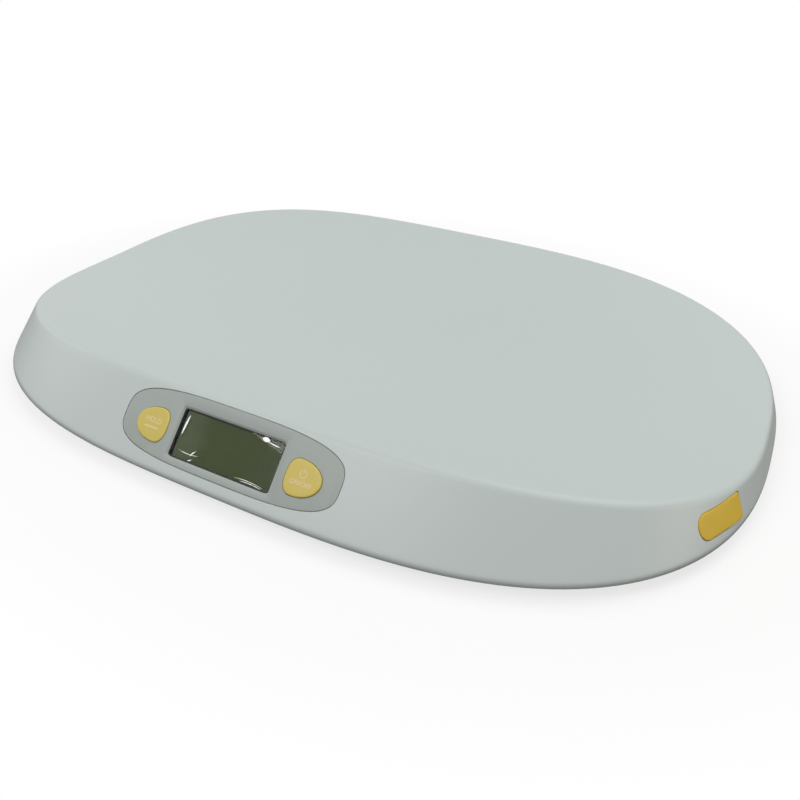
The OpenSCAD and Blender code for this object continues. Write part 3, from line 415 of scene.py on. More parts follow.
def casing_point(turn, level):
    """A point of the casing in metres: a level is a zone and a share of the way through it."""
    zone, share = level
    low, high = [superellipse(turn, *outline, spread=SPREAD) for outline in (EDGE, RIM)]
    out, out_low = outward(RIM, high), outward(EDGE, low)
    rise, lean = tray_z(high.y) - EDGE_Z, (low - high).dot(out)
    slant = sqrt(lean ** 2 + rise ** 2)
    foot, rim = Vector((*low, EDGE_Z)), on_tray(high)
    up = (rim - foot).normalized()
    inner = high - out * RIM_SOFT
    soft_end = on_tray(inner)
    slope = Vector((RIM_SOFT, (soft_end - rim).z)).normalized()
    wall_in, tray_in = Vector((rise, -lean)) / slant, Vector((slope.y, -slope.x))
    mitre = WALL * (wall_in + tray_in) / (1 + wall_in.dot(tray_in))
    corner = high - out * mitre.x
    inset = WALL * slant / rise
    in_low = Vector((*(low - out_low * inset), EDGE_Z))
    lip_in, lip_low = [Vector((*(low - out_low * way_in), EDGE_Z - LIP_DROP))
                       for way_in in (inset * LIP_SHARE, LIP_LEAN)]
    lip_mid = (foot + lip_low) / 2
    edge_top, rim_low = foot + up * EDGE_SOFT, rim - up * RIM_SOFT
    return {"tray": on_tray(inner * share),
            "rim": bezier(soft_end, rim, rim_low, share),
            "wall": rim_low.lerp(edge_top, share),
            "edge": bezier(edge_top, foot, lip_mid, share),
            "lip": bezier(lip_mid, lip_low, lip_in, share),
            "back": in_low - Vector((0, 0, LIP_DROP * (1 - share))),
            "inside": in_low.lerp(on_tray(corner, WALL), share),
            "under": on_tray(corner * share, WALL)}[zone] * MM


ZONES = {"tray": (0, 0.06, 0.13, 0.22, 0.32, 0.43, 0.54, 0.65, 0.75, 0.84, 0.92, 0.97, 1),
         "rim": shares(14), "wall": shares(6), "edge": shares(9), "lip": shares(8),
         "back": (0, 1), "inside": (0.5, 1), "under": (0.8, 0.6, 0.4, 0.2, 0)}
casing_levels = [(zone, share) for zone, places in ZONES.items() for share in places]
casing = loft(288, casing_levels, casing_point, closed=False)
report("the uncut casing", casing)

# %% [markdown]
# ## The pocket and the tab's opening
# The panel lies in a pocket in the front wall, on a narrow ledge, with a fine gap round it that
# shows as a thin dark line. The wall leans, so the cutters are made flat and turned into place
# with one matrix. The tab's opening has its own matrix, because the tape is pulled out at a slant.

# %% Frames of the panel and of the tab
wall_rise = tray_z(RIM[1]) - EDGE_Z
PANEL_TILT = atan2(wall_rise, EDGE[1] - RIM[1])
PANEL_MIDDLE = mm(0, -(EDGE[1] + RIM[1]) / 2, EDGE_Z + wall_rise / 2)
panel_frame = Matrix.Translation(PANEL_MIDDLE) @ Matrix.Rotation(PANEL_TILT, 4, "X")
PANEL_HALF, PANEL_POWER, PANEL_SPREAD = (76.5, 21.5), 3.3, radians(6)
PANEL_UP, PANEL_BEND, PLATE, LEDGE, GAP = 2.4, 2900.0, 1.6, 2.2, 0.3
TAB_AT = mm(256.743, -87.0, 21.35)
PULL = Vector((0.902113, -0.431500, 0))
along_pull = Matrix.Rotation(atan2(PULL.y, PULL.x), 4, "Z")
tab_frame = Matrix.Translation(TAB_AT) @ along_pull
TAB_HALF_W, TAB_HALF_H, TAB_DEPTH, TAB_GAP = 18.0, 6.35, 6.0, 0.5
TAB_BEND, WALL_LEAN = 160.0, radians(29.8)

def flat_panel_ring(turn, level):
    """The panel's outline, grown by the level's first number, at its second as a height."""
    grow, z = level
    half_x, half_y = [half + grow for half in PANEL_HALF]
    p = superellipse(turn, half_x, half_y, PANEL_POWER, PANEL_POWER, PANEL_SPREAD)
    return mm(p.x, p.y + PANEL_UP, z)


def panel_ring(turn, level):
    """The same outline, bent as the wall is."""
    p = flat_panel_ring(turn, level)
    p.z -= p.x ** 2 / (2 * PANEL_BEND * MM)
    return p


def tab_ring(turn, grow):
    """The tab's outline in its own plane: round at the front end, square at the other."""
    square = 16 if turn < 0.25 or turn > 0.75 else 2
    p = superellipse(turn, 1, 1, square, square)
    r = TAB_HALF_H + grow
    bend = TAB_HALF_H - TAB_HALF_W
    return (p.x * (TAB_HALF_W + grow - bend) + bend if p.x > 0 else p.x * r + bend), p.y * r


def moved(bm, matrix):
    bmesh.ops.transform(bm, matrix=matrix, verts=bm.verts)
    return bm


pocket = moved(loft(144, [(GAP, -PLATE), (GAP, 3)], panel_ring), panel_frame)
window_way = moved(loft(96, [(-LEDGE, -7), (-LEDGE, 1)], panel_ring), panel_frame)
tab_way = moved(loft(96, [-9, 4], lambda turn, x: mm(x, *tab_ring(turn, TAB_GAP))), tab_frame)
casing = carve(casing, pocket, window_way, tab_way)
piece("casing_shell", casing, white_casing, "top_shell", sharp=32)

# %% [markdown]
# ## Turned shapes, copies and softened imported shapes
# Screws, pads, cells and wheels are turned shapes: a profile that is spun round an axis, made
# once and copied to its places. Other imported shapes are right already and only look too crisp,
# because a real moulding has no edge without a radius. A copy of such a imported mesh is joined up,
# its flat faces are made whole, and its edges get a narrow bevel.

# %% Lathe, copies and softened copies
def lathe(profile, steps=40):
    """A skin from (radius, height) points in millimetres, spun round Z."""
    bm = bmesh.new()
    ring_shaped = profile[0] == profile[-1]
    line = [bm.verts.new(mm(r, 0, z)) for r, z in (profile[:-1] if ring_shaped else profile)]
    if ring_shaped:
        line.append(line[0])
    edges = [bm.edges.new(pair) for pair in zip(line, line[1:])]
    bmesh.ops.spin(bm, geom=bm.verts[:] + edges, cent=(0, 0, 0), axis=Z, angle=2 * pi,
                   steps=steps, use_merge=True)
    return cleaned(bm)


def added(bm, other):
    """One bmesh takes in another."""
    mesh = bpy.data.meshes.new("part")
    other.to_mesh(mesh)
    other.free()
    bm.from_mesh(mesh)
    bpy.data.meshes.remove(mesh)
    return bm


def copies(bm, places):
    """Copies of a bmesh, at points in millimetres or turned by matrices."""
    mesh, together = bpy.data.meshes.new("part"), bmesh.new()
    bm.to_mesh(mesh)
    bm.free()
    for place in places:
        one = mesh.copy()
        one.transform(place if isinstance(place, Matrix) else Matrix.Translation(mm(*place)))
        together.from_mesh(one)
        bpy.data.meshes.remove(one)
    bpy.data.meshes.remove(mesh)
    return together


def soften(bm, edges, by):
    bmesh.ops.bevel(bm, geom=edges, offset=by * MM, segments=2, profile=0.5, affect="EDGES",
                    material=-1)


def packed(node, soft=0.0):
    """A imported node's mesh, joined up, with its edges softened by some millimetres."""
    bm = bmesh.new()
    bm.from_mesh(frame["nodes"][node].data)
    bmesh.ops.remove_doubles(bm, verts=bm.verts, dist=0.002 * MM)
    bmesh.ops.dissolve_limit(bm, angle_limit=radians(0.5), verts=bm.verts, edges=bm.edges)
    if soft:
        corners = [e for e in bm.edges if e.is_manifold and e.calc_face_angle() > radians(30)]
        soften(bm, corners, soft)
    return bm


def softened(name, node, soft, finish):
    """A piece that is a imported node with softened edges."""
    piece(name, packed(node, soft), finish, node, weigh=True)


def bar(low, high, soft=0.0):
    """A block between two corners in millimetres, with its edges softened."""
    bm = bmesh.new()
    bmesh.ops.create_cube(bm, size=1)
    low, high = mm(*low), mm(*high)
    bmesh.ops.scale(bm, vec=high - low, verts=bm.verts)
    bmesh.ops.translate(bm, vec=(low + high) / 2, verts=bm.verts)
    if soft:
        soften(bm, bm.edges[:], soft)
    return bm


def slice_up(bm, places, snap):
    """Cuts a skin across X at places in millimetres, so that it can bend or stretch there."""
    for x in places:
        bmesh.ops.bisect_plane(bm, geom=bm.verts[:] + bm.edges[:] + bm.faces[:],
                               plane_co=(x * MM, 0, 0), plane_no=X, dist=snap)


def painted(bm, choose):
    """Gives each face the finish whose number its middle in millimetres and its normal tell."""
    for face in bm.faces:
        face.material_index = int(choose(face.calc_center_median() / MM, face.normal))
    return bm


test = lathe([(0, 0), (3, 0), (3, 2), (0, 2)])
report("a turned disc", test)
test.free()

# %% [markdown]
# ## Posts under the tray
# Eight posts hang from the underside of the tray, and the case screws go up into them. They are
# part of the same moulding. Each is turned, with its screw hole.

# %% Screw posts
POSTS = [(x, y) for x in (-130, 130) for y in (-130.5, 130.5)]
POSTS += [(x, y) for x in (-230, 230) for y in (-40, 40)]
POST_R, POST_HOLE_R, POST_HOLE, BOSS_TOP, SUNK = 4.0, 1.56, 11.0, 10.0, 0.4
posts = bmesh.new()
for x, y in POSTS:
    top, hole_top = tray_z(y) - WALL + SUNK, BOSS_TOP + POST_HOLE
    post = lathe([(0, hole_top), (POST_HOLE_R, hole_top), (POST_HOLE_R, BOSS_TOP + 0.3),
                  (POST_HOLE_R + 0.3, BOSS_TOP), (POST_R - 0.4, BOSS_TOP),
                  (POST_R, BOSS_TOP + 0.4), (POST_R, top), (0, top)], 32)
    added(posts, copies(post, [(x, y, 0)]))
piece("casing_posts", posts, white_casing, "top_shell")

# %% [markdown]
# ## The display plate
# The plate is thin, slightly bent like the wall, and has a softened border. A flat plate is
# simple to cut, so it is made flat, cut, sliced across into strips and bent last: the slices give
# the bend its points. The window's cutter also makes the slopes round the window. The upright
# walls below them take a second finish, because a dark gasket shows there.

# %% The plate and its openings
WINDOW_HALF = (35.5, 14.3)
WINDOW_UP, SLOPE_W, SLOPE_H, GASKET_REACH = 0.5, 1.7, 1.1, 0.9
BUTTON_AT, BUTTON_HALF, BUTTON_SKEW = 54.0, (11.4, 10.4), 4.0


def window_ring(turn, level):
    grow, z = level
    half_x, half_y = [half + grow for half in WINDOW_HALF]
    p = superellipse(turn, half_x, half_y, 26, 26, radians(8))
    return mm(p.x, p.y + WINDOW_UP, z)


def button_ring(side, turn, grow, share=1.0):
    """A button's outline: longer and rounder outside, shorter and flatter towards the window."""
    t = 2 * pi * turn
    skew, roundness = (BUTTON_SKEW, 2.0) if cos(t) > 0 else (-BUTTON_SKEW, 2.6)
    x = (BUTTON_HALF[0] + skew + grow) * power(cos(t), 2 / roundness) - BUTTON_SKEW
    y = (BUTTON_HALF[1] + grow) * power(sin(t), 2 / roundness)
    return side * (BUTTON_AT + x * share), y * share


def in_window_wall(at, normal):
    """Whether a face of the plate is one of the upright walls under the window's slopes."""
    near_x = abs(at.x) < WINDOW_HALF[0] + GASKET_REACH
    near_y = abs(at.y - WINDOW_UP) < WINDOW_HALF[1] + GASKET_REACH
    return near_x and near_y and abs(normal.z) < 0.2


SOFT = 0.35
rounding = [(-SOFT * across, -SOFT * down) for across, down in quarter_round(0, 0.4, 0.8, 1.2)]
plate = loft(160, [(0, -PLATE), *rounding], flat_panel_ring)
slopes = [(0.6, -4), (0.6, -SLOPE_H), (SLOPE_W * 0.7, -SLOPE_H * 0.4), (SLOPE_W, -0.05),
          (SLOPE_W * 2, 0.6)]
button_cuts = [loft(96, [-4, 2], lambda turn, z, side=side: mm(*button_ring(side, turn, GAP), z))
               for side in (-1, 1)]
plate = carve(plate, loft(120, slopes, window_ring), *button_cuts)
slice_up(plate, range(-72, 73, 4), 1e-7)
painted(plate, in_window_wall)
for v in plate.verts:
    v.co.z -= v.co.x ** 2 / (2 * PANEL_BEND * MM)

BOARD_DEPTH, BOARD = 8.0, 1.6
BOSSES = [(x, y) for x in (-42, 42) for y in (-12.5, 16.5)] + [(-70, PANEL_UP), (70, PANEL_UP)]
boss = lathe([(0, -4), (0.96, -4), (0.96, -BOARD_DEPTH), (1.85, -BOARD_DEPTH),
              (2.1, -BOARD_DEPTH + 0.25), (2.1, -1.65), (0, -1.65)], 24)
added(plate, copies(boss, [(x, y, -0.85 if abs(x) > 60 else -0.35) for x, y in BOSSES]))
piece("display_plate", moved(plate, panel_frame), [panel_paint, black_plastic], "display_bezel",
      sharp=25)

# %% [markdown]
# ## Behind the plate
# The window's dark look comes from depth: clear plastic, a little air, and the olive glass of a
# display that is switched off, with a black gasket round them. The lens has softly rolled borders.
# Its top starts as a flat inner outline, so that the shading of the roll stays at the border.

# %% The gasket and the lens
LENS_TOP, LENS, LENS_GROW, LENS_ROLL = -1.75, 1.1, 0.6, 0.5
GLASS_TOP, GASKET_OUT = -3.2, 1.9
gasket = loft(120, [(0.05, -PLATE), (GASKET_OUT, -PLATE - 0.25), (GASKET_OUT, GLASS_TOP),
                    (0.05, GLASS_TOP), (0.05, -PLATE)], window_ring, closed=False)
piece("window_gasket", moved(gasket, panel_frame), black_plastic, body="casing",
      slot="black_plastic")

lens_finish, shader, point = start("window_lens", 0.02)
lens_finish.node_tree.nodes.remove(shader)
gloss = point.node("BsdfGlossy", {"Color": (1, 1, 1, 1), "Roughness": 0.02})
mirrored = point.node("Fresnel", {"IOR": 1.2})
show(lens_finish, mirrored.mix(point.clear((0.96, 0.97, 0.94)), gloss))
lens_levels = [(LENS_GROW, LENS_TOP - LENS), (LENS_GROW, LENS_TOP - LENS_ROLL),
               *[(LENS_GROW - 0.8 * s, LENS_TOP - LENS_ROLL * (1 - s) ** 2) for s in shares(8)],
               *[(grow, LENS_TOP) for grow in (-0.5, -1, -4)]]
lens = moved(loft(120, lens_levels, window_ring), panel_frame)
piece("lens", lens, lens_finish, "display_window", sharp=60)

# %% [markdown]
# ## Lifts in the protective film, with painted highlights
# A few short white strokes lie near the window's border, where the clear film on the lens has come
# loose. Their white is painted highlight: a near-white colour and a faint glow stand in for the
# light that the loose film throws back. Each stroke is a low bead that follows a short path and
# tapers to nothing at both ends, so a loft along the path makes it.

# %% Short beads on the lens
def bead(path, width, height):
    """A low bead along three points in the panel's plane, tapering to both ends."""
    a, b, c = [Vector((*p, 0)) for p in path]

    def place(turn, share):
        side = ((b - a) * (1 - share) + (c - b) * share).normalized().cross(Vector(Z))
        size = max(sin(pi * share), 0.02) ** 0.6
        t = 2 * pi * turn
        up = height * size * sin(t) * (1 if sin(t) > 0 else 0.1)
        return (bezier(a, b, c, share) + side * width / 2 * size * cos(t)
                + Vector((0, 0, LENS_TOP + up))) * MM

    return loft(10, [0, *shares(24)], place)


STROKES = [  # Three points of the path, then the width and the height
    ((20.2, 13.3), (22.6, 13.8), (25.4, 13.0), 2.8, 0.35),
    ((24, 12.7), (29, 11.9), (33.2, 11.7), 0.7, 0.2),
    ((-32.5, -0.5), (-32.1, 6), (-31.4, 11.8), 1.2, 0.35),
    ((12, -12.4), (20, -11.0), (31.5, -12.6), 0.32, 0.12),
    ((16, -13.0), (24, -12.3), (31, -13.4), 0.4, 0.12),
    ((-30.5, -8.9), (-24, -10.4), (-16, -9.0), 0.35, 0.1),
    ((-21.2, -10.6), (-20.4, -8.0), (-18.2, -6.6), 0.7, 0.2),
    ((-19.2, -12.0), (-20.4, -12.9), (-21.8, -13.2), 0.6, 0.15)]
lifts = bmesh.new()
for *path, width, height in STROKES:
    added(lifts, bead(path, width, height))
# Painted highlight: the beads are near-white and glow a little, though they are no lamp.
lifted_film_with_painted_glow, shader, point = start("lifted_film_with_painted_glow", 0.25, Base_Color=(0.95, 0.97, 0.95, 1),
                                   Emission_Color=(1, 1, 0.97, 1), Emission_Strength=0.22)
patchy = limited((point.noise(1.3) - 0.30) * 6, 0.1, 0.95)
show(lifted_film_with_painted_glow, patchy.mix(point.clear(), Shade(lifted_film_with_painted_glow.node_tree, shader.outputs[0])))
piece("film_lifts_with_painted_glow", moved(lifts, panel_frame), lifted_film_with_painted_glow, body="casing", slot="window_lens")

# %% [markdown]
# ## The display glass
# The glass is flat, switched off and olive. Painted reflections vary its colour: it turns bluish
# towards the right end and paler towards the left end, with cloudy borders. Painted shade darkens
# a thin strip along its left and top borders, under the window's walls.

# %% The display glass
PANEL_NORMAL = (0, -sin(PANEL_TILT), cos(PANEL_TILT))
PANEL_UPWARD = (0, cos(PANEL_TILT), sin(PANEL_TILT))
PAINTED_SHADE_LEFT, PAINTED_SHADE_TOP = -34.7, 14.3


def dress(node, finish):
    """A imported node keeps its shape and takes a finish."""
    frame["nodes"][node].data.materials.clear()
    frame["nodes"][node].data.materials.append(finish)


display, shader, point = start("display_glass", 0.15, Specular_IOR_Level=0.0)
u, v = point.along(X), point.along(PANEL_UPWARD, PANEL_MIDDLE)
cloud = point.noise(14)
# Painted reflections: bluish towards the right end, paler towards the left end.
blue_reflection_share = limited((u - 14) / 22 + (cloud - 0.5) * 0.8)
olive = blue_reflection_share.blend((0.085, 0.108, 0.046), (0.097, 0.121, 0.074))
pale_reflection_share = limited(0 - (u + 15) / 12 + (cloud - 0.5) * 1.6)
tones = pale_reflection_share.blend(olive, (0.124, 0.151, 0.092))
# Painted shade: a near-black strip along the left and top borders, under the window's walls.
left, top = u < PAINTED_SHADE_LEFT, v > PAINTED_SHADE_TOP
painted_border_shade = left.maths("MAXIMUM", left, top)
join(shader, "Base Color", painted_border_shade.blend(tones, (0.012, 0.013, 0.011)))
dress("lcd_glass", display)
print("display glass: olive with a black mask")

# %% [markdown]
# ## The buttons
# A button is a skin of several levels: a flange that keeps it behind the plate, an upright side, a
# rounded shoulder and a crown that is almost flat. A stem reaches down to the switch. The two
# buttons are mirror images.

# %% Two buttons
BUTTON_OUT, FLANGE_TOP, FLANGE, PLUNGER_TOP = 0.3, -2.569, 0.8, -3.7
STEM_R, CAP_IN, CAP_DROP = 2.2, 1.1, 0.5
shoulder = [("cap", -CAP_IN * across, BUTTON_OUT - CAP_DROP * down, 1)
            for across, down in quarter_round(0, 0.3, 0.6, 0.9, 1.2)]
button_levels = [
    *[("stem", r, PLUNGER_TOP, 0) for r in (0, STEM_R)], ("stem", STEM_R, FLANGE_TOP - FLANGE, 0),
    ("cap", 1, FLANGE_TOP - FLANGE, 1), ("cap", 1, FLANGE_TOP, 1), ("cap", 0, FLANGE_TOP, 1),
    *shoulder, *[("cap", -CAP_IN, BUTTON_OUT, share) for share in (0.8, 0.55, 0.3, 0)]]


def button_point(side, turn, level):
    part, size, z, share = level
    if part == "stem":
        t = 2 * pi * turn
        return mm(side * (BUTTON_AT + size * cos(t)), size * sin(t), z)
    return mm(*button_ring(side, turn, size, share), z)


for side, name in ((-1, "hold"), (1, "power")):
    skin = loft(96, button_levels, lambda turn, level, side=side: button_point(side, turn, level))
    piece(f"{name}_cap", moved(skin, panel_frame), button_plastic, f"{name}_button")

# %% [markdown]
# ## Signs on the buttons
# The signs are printed in a pale paint, thinner than a hair. Text comes from a font curve that is
# turned into a mesh, and the ring of the power sign is a small square that is spun by less than a
# full turn. Each is laid 0.02 mm over the crown, so that it shows without a visible step.

# %% Printed signs
pale_print = surface("pale_print", linear(226, 208, 158), 0.5, grain=(0.2, 0.3))
PRINT, BOLDER = 0.04, 0.07


def on_crown(bm, x, y):
    return moved(bm, Matrix.Translation(mm(x, y, BUTTON_OUT)))


def lettering(text, size, x, y):
    """A flat word in the panel's plane, as a bmesh."""
    curve = bpy.data.curves.new("word", "FONT")
    curve.body, curve.size, curve.align_x, curve.align_y = text, size * MM, "CENTER", "CENTER"
    curve.extrude, curve.offset = PRINT / 2 * MM, BOLDER * MM
    word = bpy.data.objects.new("word", curve)
    bm = bmesh.new()
    bm.from_mesh(bpy.data.meshes.new_from_object(word))
    bpy.data.objects.remove(word)
    bmesh.ops.remove_doubles(bm, verts=bm.verts, dist=1e-8)
    return on_crown(bm, x, y)


def open_ring(radius, width, gap, x, y):
    """A ring with a gap at its top: a small upright square, spun."""
    bm = bmesh.new()
    near, far, half = radius, radius + width, PRINT / 2
    corners = [(near, 0, -half), (far, 0, -half), (far, 0, half), (near, 0, half)]
    square = bm.faces.new([bm.verts.new(mm(*c)) for c in corners])
    start_turn = Matrix.Rotation(pi / 2 + gap / 2, 3, "Z")
    bmesh.ops.rotate(bm, cent=(0, 0, 0), matrix=start_turn, verts=bm.verts)
    bmesh.ops.spin(bm, geom=[square, *square.verts, *square.edges], cent=(0, 0, 0),
                   axis=Z, angle=2 * pi - gap, steps=30)
    bmesh.ops.recalc_face_normals(bm, faces=bm.faces)
    return on_crown(bm, x, y)


def stroke(x_low, y_low, x_high, y_high):
    return bar((x_low, y_low, BUTTON_OUT - PRINT / 2), (x_high, y_high, BUTTON_OUT + PRINT / 2))


hold_sign = lettering("HOLD", 4.4, -BUTTON_AT + 0.6, 1.9)
added(hold_sign, stroke(-BUTTON_AT - 4.6, -2.9, -BUTTON_AT + 5.6, -1.9))
power_sign = open_ring(1.8, 0.6, 1.1, BUTTON_AT - 0.6, 2.7)
added(power_sign, stroke(BUTTON_AT - 0.9, 3.0, BUTTON_AT - 0.3, 5.6))
added(power_sign, lettering("ON/OFF", 3.7, BUTTON_AT - 0.4, -2.7))
for name, sign in (("hold", hold_sign), ("power", power_sign)):
    piece(f"{name}_sign", moved(sign, panel_frame), pale_print, body=f"{name}_button",
          slot="yellow_plastic")

# %% [markdown]
# ## Small screws
# Four kinds of screw hold the scale together: three here, and the tape case's own further on. A
# screw is turned from one profile, with ridges for its thread, and a cross is then cut into its
# head. One of each kind is made and copied.

# %% Screws
zinc = metal("zinc_plate", (0.62, 0.62, 0.63), 0.32, grain=(0.15, 0.2), drift=(0.05, 3))
PITCH, ROOT = 0.5, 0.84


def screw(length, head_r=1.9, head_t=1.1, shank_r=0.9, steps=20):
    """A screw along Z: its head below zero and its thread above."""
    head = [(0, -head_t), (head_r * 0.5, -head_t), (head_r * 0.82, -head_t * 0.9),
            (head_r, -head_t * 0.5), (head_r, 0), (shank_r, 0)]
    turns = int((length - 1) / PITCH)
    thread = [(shank_r * (ROOT if k % 2 else 1), 0.4 + (length - 1) * k / (2 * turns))
              for k in range(2 * turns + 1)]
    blank = lathe([*head, *thread, (shank_r * 0.5, length), (0, length)], steps)
    slot_l, slot_w = head_r * 0.6, head_r * 0.13
    return carve(blank, *[bar((-x, -y, -head_t - 1), (x, y, -head_t * 0.45))
                          for x, y in ((slot_l, slot_w), (slot_w, slot_l))])


FEET = [(x, y) for x in (-170, 170) for y in (-120.5, 120.5)]
CELL_Z, CELL_T, CELL_SCREW_AT, HEAD_SEAT = 9.0, 1.6, (-12.5, 12.5), 7.6
case_screws = copies(screw(8.0, 3.1, 1.9, 1.5, 32), [(x, y, HEAD_SEAT) for x, y in POSTS])
piece("case_screw_set", case_screws, zinc, "case_screws")
cell_places = [(fx + x, fy + y, CELL_Z) for fx, fy in FEET for x in CELL_SCREW_AT
               for y in CELL_SCREW_AT]
piece("cell_screw_set", copies(screw(CELL_T + 1.6), cell_places), zinc, "cell_screws")
board_screws = copies(screw(BOARD + 3), [(x, y, -BOARD_DEPTH - BOARD) for x, y in BOSSES])
piece("board_screw_set", moved(board_screws, panel_frame), zinc, "board_screws")

# %% [markdown]
# ## The base
# The base is a thin grey tray with bosses, four round foot wells and the battery compartment. Its
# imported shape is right, so a copy with softened edges takes its place.

# %% The base and the battery door
softened("base", "base_shell", 0.25, grey_base)
softened("door", "battery_door", 0.2, grey_base)

# %% [markdown]
# ## The feet
# Each foot is a rubber pad under a disc that hangs on the load cell's tongue. The pad has rings
# moulded into its underside for grip. The load cell is a plate of bare steel, ground in one
# direction, and the strain gauge on it is a gold-coloured foil with a fine zigzag of wire.

# %% Pads, discs and load cells
rubber = surface("foot_rubber", (0.03, 0.03, 0.031), 0.75, grain=(0.7, 0.4), drift=(0.12, 6))
grip_rings = [(3.2 + 3.3 * k + r, z) for k in range(4)
              for r, z in ((0.7, 0), (1.0, 0.45), (1.9, 0.45), (2.2, 0))]
pad = lathe([(0, 0.4), (2.6, 0.4), (3, 0), *grip_rings, (16.4, 0), (17, 0.5), (17, 1.6), (16.6, 2),
             (0, 2)], 64)
holder = lathe([(0, 2), (18.5, 2), (19, 2.5), (19, 4.7), (18.5, 5.2), (6, 5.2), (5, 6), (5, 8.8),
                (4.8, CELL_Z), (0, CELL_Z)], 64)
at_feet = [(x, y, 0) for x, y in FEET]
piece("pads", copies(pad, at_feet), rubber, "foot_pads")
piece("holders", copies(holder, at_feet), grey_base, "foot_holders")

ground_steel = metal("cell_steel", (0.45, 0.46, 0.48), 0.38, stretch=(0.08, 1, 1),
                     grain=(0.35, 0.25), drift=(0.08, 9))
softened("cells", "load_cells", 0.15, ground_steel)
foil, shader, point = start("gauge_foil", 0.3)
wire = (point.along(X).near(0.5) < 0.12) * (point.noise(0.3) * 0.2 + 0.8)
join(shader, "Base Color", wire.blend((0.50, 0.27, 0.05), (0.16, 0.13, 0.10)))
join(shader, "Metallic", wire * 0.8)
dress("strain_gauges", foil)

# %% [markdown]
# ## Behind the display
# The holder presses the glass against the lens, and a striped rubber bar carries the signals from
# the board up to the glass. Its stripes are thin layers of carbon rubber between clear ones. The
# board is green lacquer over copper, and its tracks show as slightly paler lines.

# %% Holder, striped rubber and board
softened("holder_frame", "lcd_holder", 0.15, black_plastic)
striped_rubber, shader, point = start("striped_rubber", 0.6)
layers = point.along(X).near(0.6) < 0.15
pink = point.noise(2).blend((0.50, 0.22, 0.26), (0.58, 0.28, 0.32))
join(shader, "Base Color", layers.blend(pink, (0.03, 0.03, 0.03)))
dress("lcd_connector", striped_rubber)

TRACK_PITCH, TRACK_HALF, PAD_PITCH, PAD_R2 = 1.6, 0.22, 5.08, 0.55
lacquer, shader, point = start("board_lacquer", 0.35)
u, v = point.along(X), point.along(PANEL_UPWARD, PANEL_MIDDLE)
which = point.noise(9, detail=0)
tracks = limited((u.near(TRACK_PITCH) < TRACK_HALF) * (which > 0.52)
                 + (v.near(TRACK_PITCH) < TRACK_HALF) * (which < 0.48))
solder_pads = (u.near(PAD_PITCH) ** 2 + v.near(PAD_PITCH) ** 2) < PAD_R2
green = point.noise(20).blend((0.018, 0.14, 0.055), (0.03, 0.19, 0.075))
lit_green = (tracks * 0.6).blend(green, (0.06, 0.30, 0.12))
join(shader, "Base Color", solder_pads.blend(lit_green, (0.70, 0.68, 0.62)))
join(shader, "Metallic", solder_pads * 0.9)
join(shader, "Normal", bumped(tracks, 0.4, 0.03))
softened("board", "circuit_board", 0.12, lacquer)

# %% [markdown]
# ## Parts on the board
# The chip lies under a drop of black resin that spread and set, so it is a shallow dome. Two
# capacitors stand beside it, each a sleeve that is rolled over an aluminium top. The sockets and
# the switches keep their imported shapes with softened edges, and each switch has a steel lid.

# %% Resin drop, capacitors, sockets and switches
resin = surface("black_resin", (0.014, 0.014, 0.015), 0.22, drift=(0.3, 5), grain=(0.3, 1.5),
                depth=0.05)
drop = lathe([(0, -11.2), (2.2, -11.14), (4.2, -10.9), (5.8, -10.45), (6.7, -9.95), (7.0, -9.6),
              (0, -9.6)], 48)
piece("resin_drop", moved(copies(drop, [(0, 2, 0)]), panel_frame), resin, "controller_chip")

sleeve_blue = surface("capacitor_sleeve", (0.03, 0.04, 0.14), 0.3, drift=(0.1, 3),
                      grain=(0.1, 0.5))
bright_aluminium = metal("bright_aluminium", (0.75, 0.76, 0.77), 0.28, grain=(0.1, 0.5))
can = lathe([(0, -14.5), (1.7, -14.5), (1.85, -14.6), (2.2, -14.6), (2.5, -14.2), (2.5, -10.9),
             (2.35, -10.7), (2.35, -10.4), (2.5, -10.2), (2.5, -9.6), (0, -9.6)], 32)
painted(can, lambda at, normal: at.z < -14.4 and at.xy.length < 1.8)
cans = moved(copies(can, [(17, 3, 0), (25, 3, 0)]), panel_frame)
piece("capacitor_pair", cans, [sleeve_blue, bright_aluminium], "board_capacitors")

nylon = surface("socket_nylon", (0.74, 0.72, 0.62), 0.45, grain=(0.2, 0.4))
softened("sockets", "lead_sockets", 0.15, nylon)
switch_finish, shader, point = start("switch_lid", 0.35)
lid = point.along(PANEL_NORMAL, PANEL_MIDDLE) > -5.0
join(shader, "Base Color", lid.blend((0.02, 0.02, 0.021), (0.62, 0.62, 0.6)))
join(shader, "Metallic", lid)
softened("switches", "switch_housings", 0.12, switch_finish)
plunger = [(0, -6.6), (1.5, -6.6), (1.7, -6.4), (1.7, -4.0), (1.4, PLUNGER_TOP), (0, PLUNGER_TOP)]
for side, name in ((-1, "hold"), (1, "power")):
    pin = moved(copies(lathe(plunger, 24), [(side * BUTTON_AT, 0, 0)]), panel_frame)
    piece(f"{name}_pin", pin, black_plastic, f"{name}_plunger")

# %% [markdown]
# ## Batteries and contacts
# Four cells of size AAA lie side by side, turned in alternate directions. A cell is turned from
# one profile: a rolled can, a plain jacket and a small cap. Each rests on a coiled contact. The
# coil is a wire: a small ring that is carried along a helix and always faces along it.

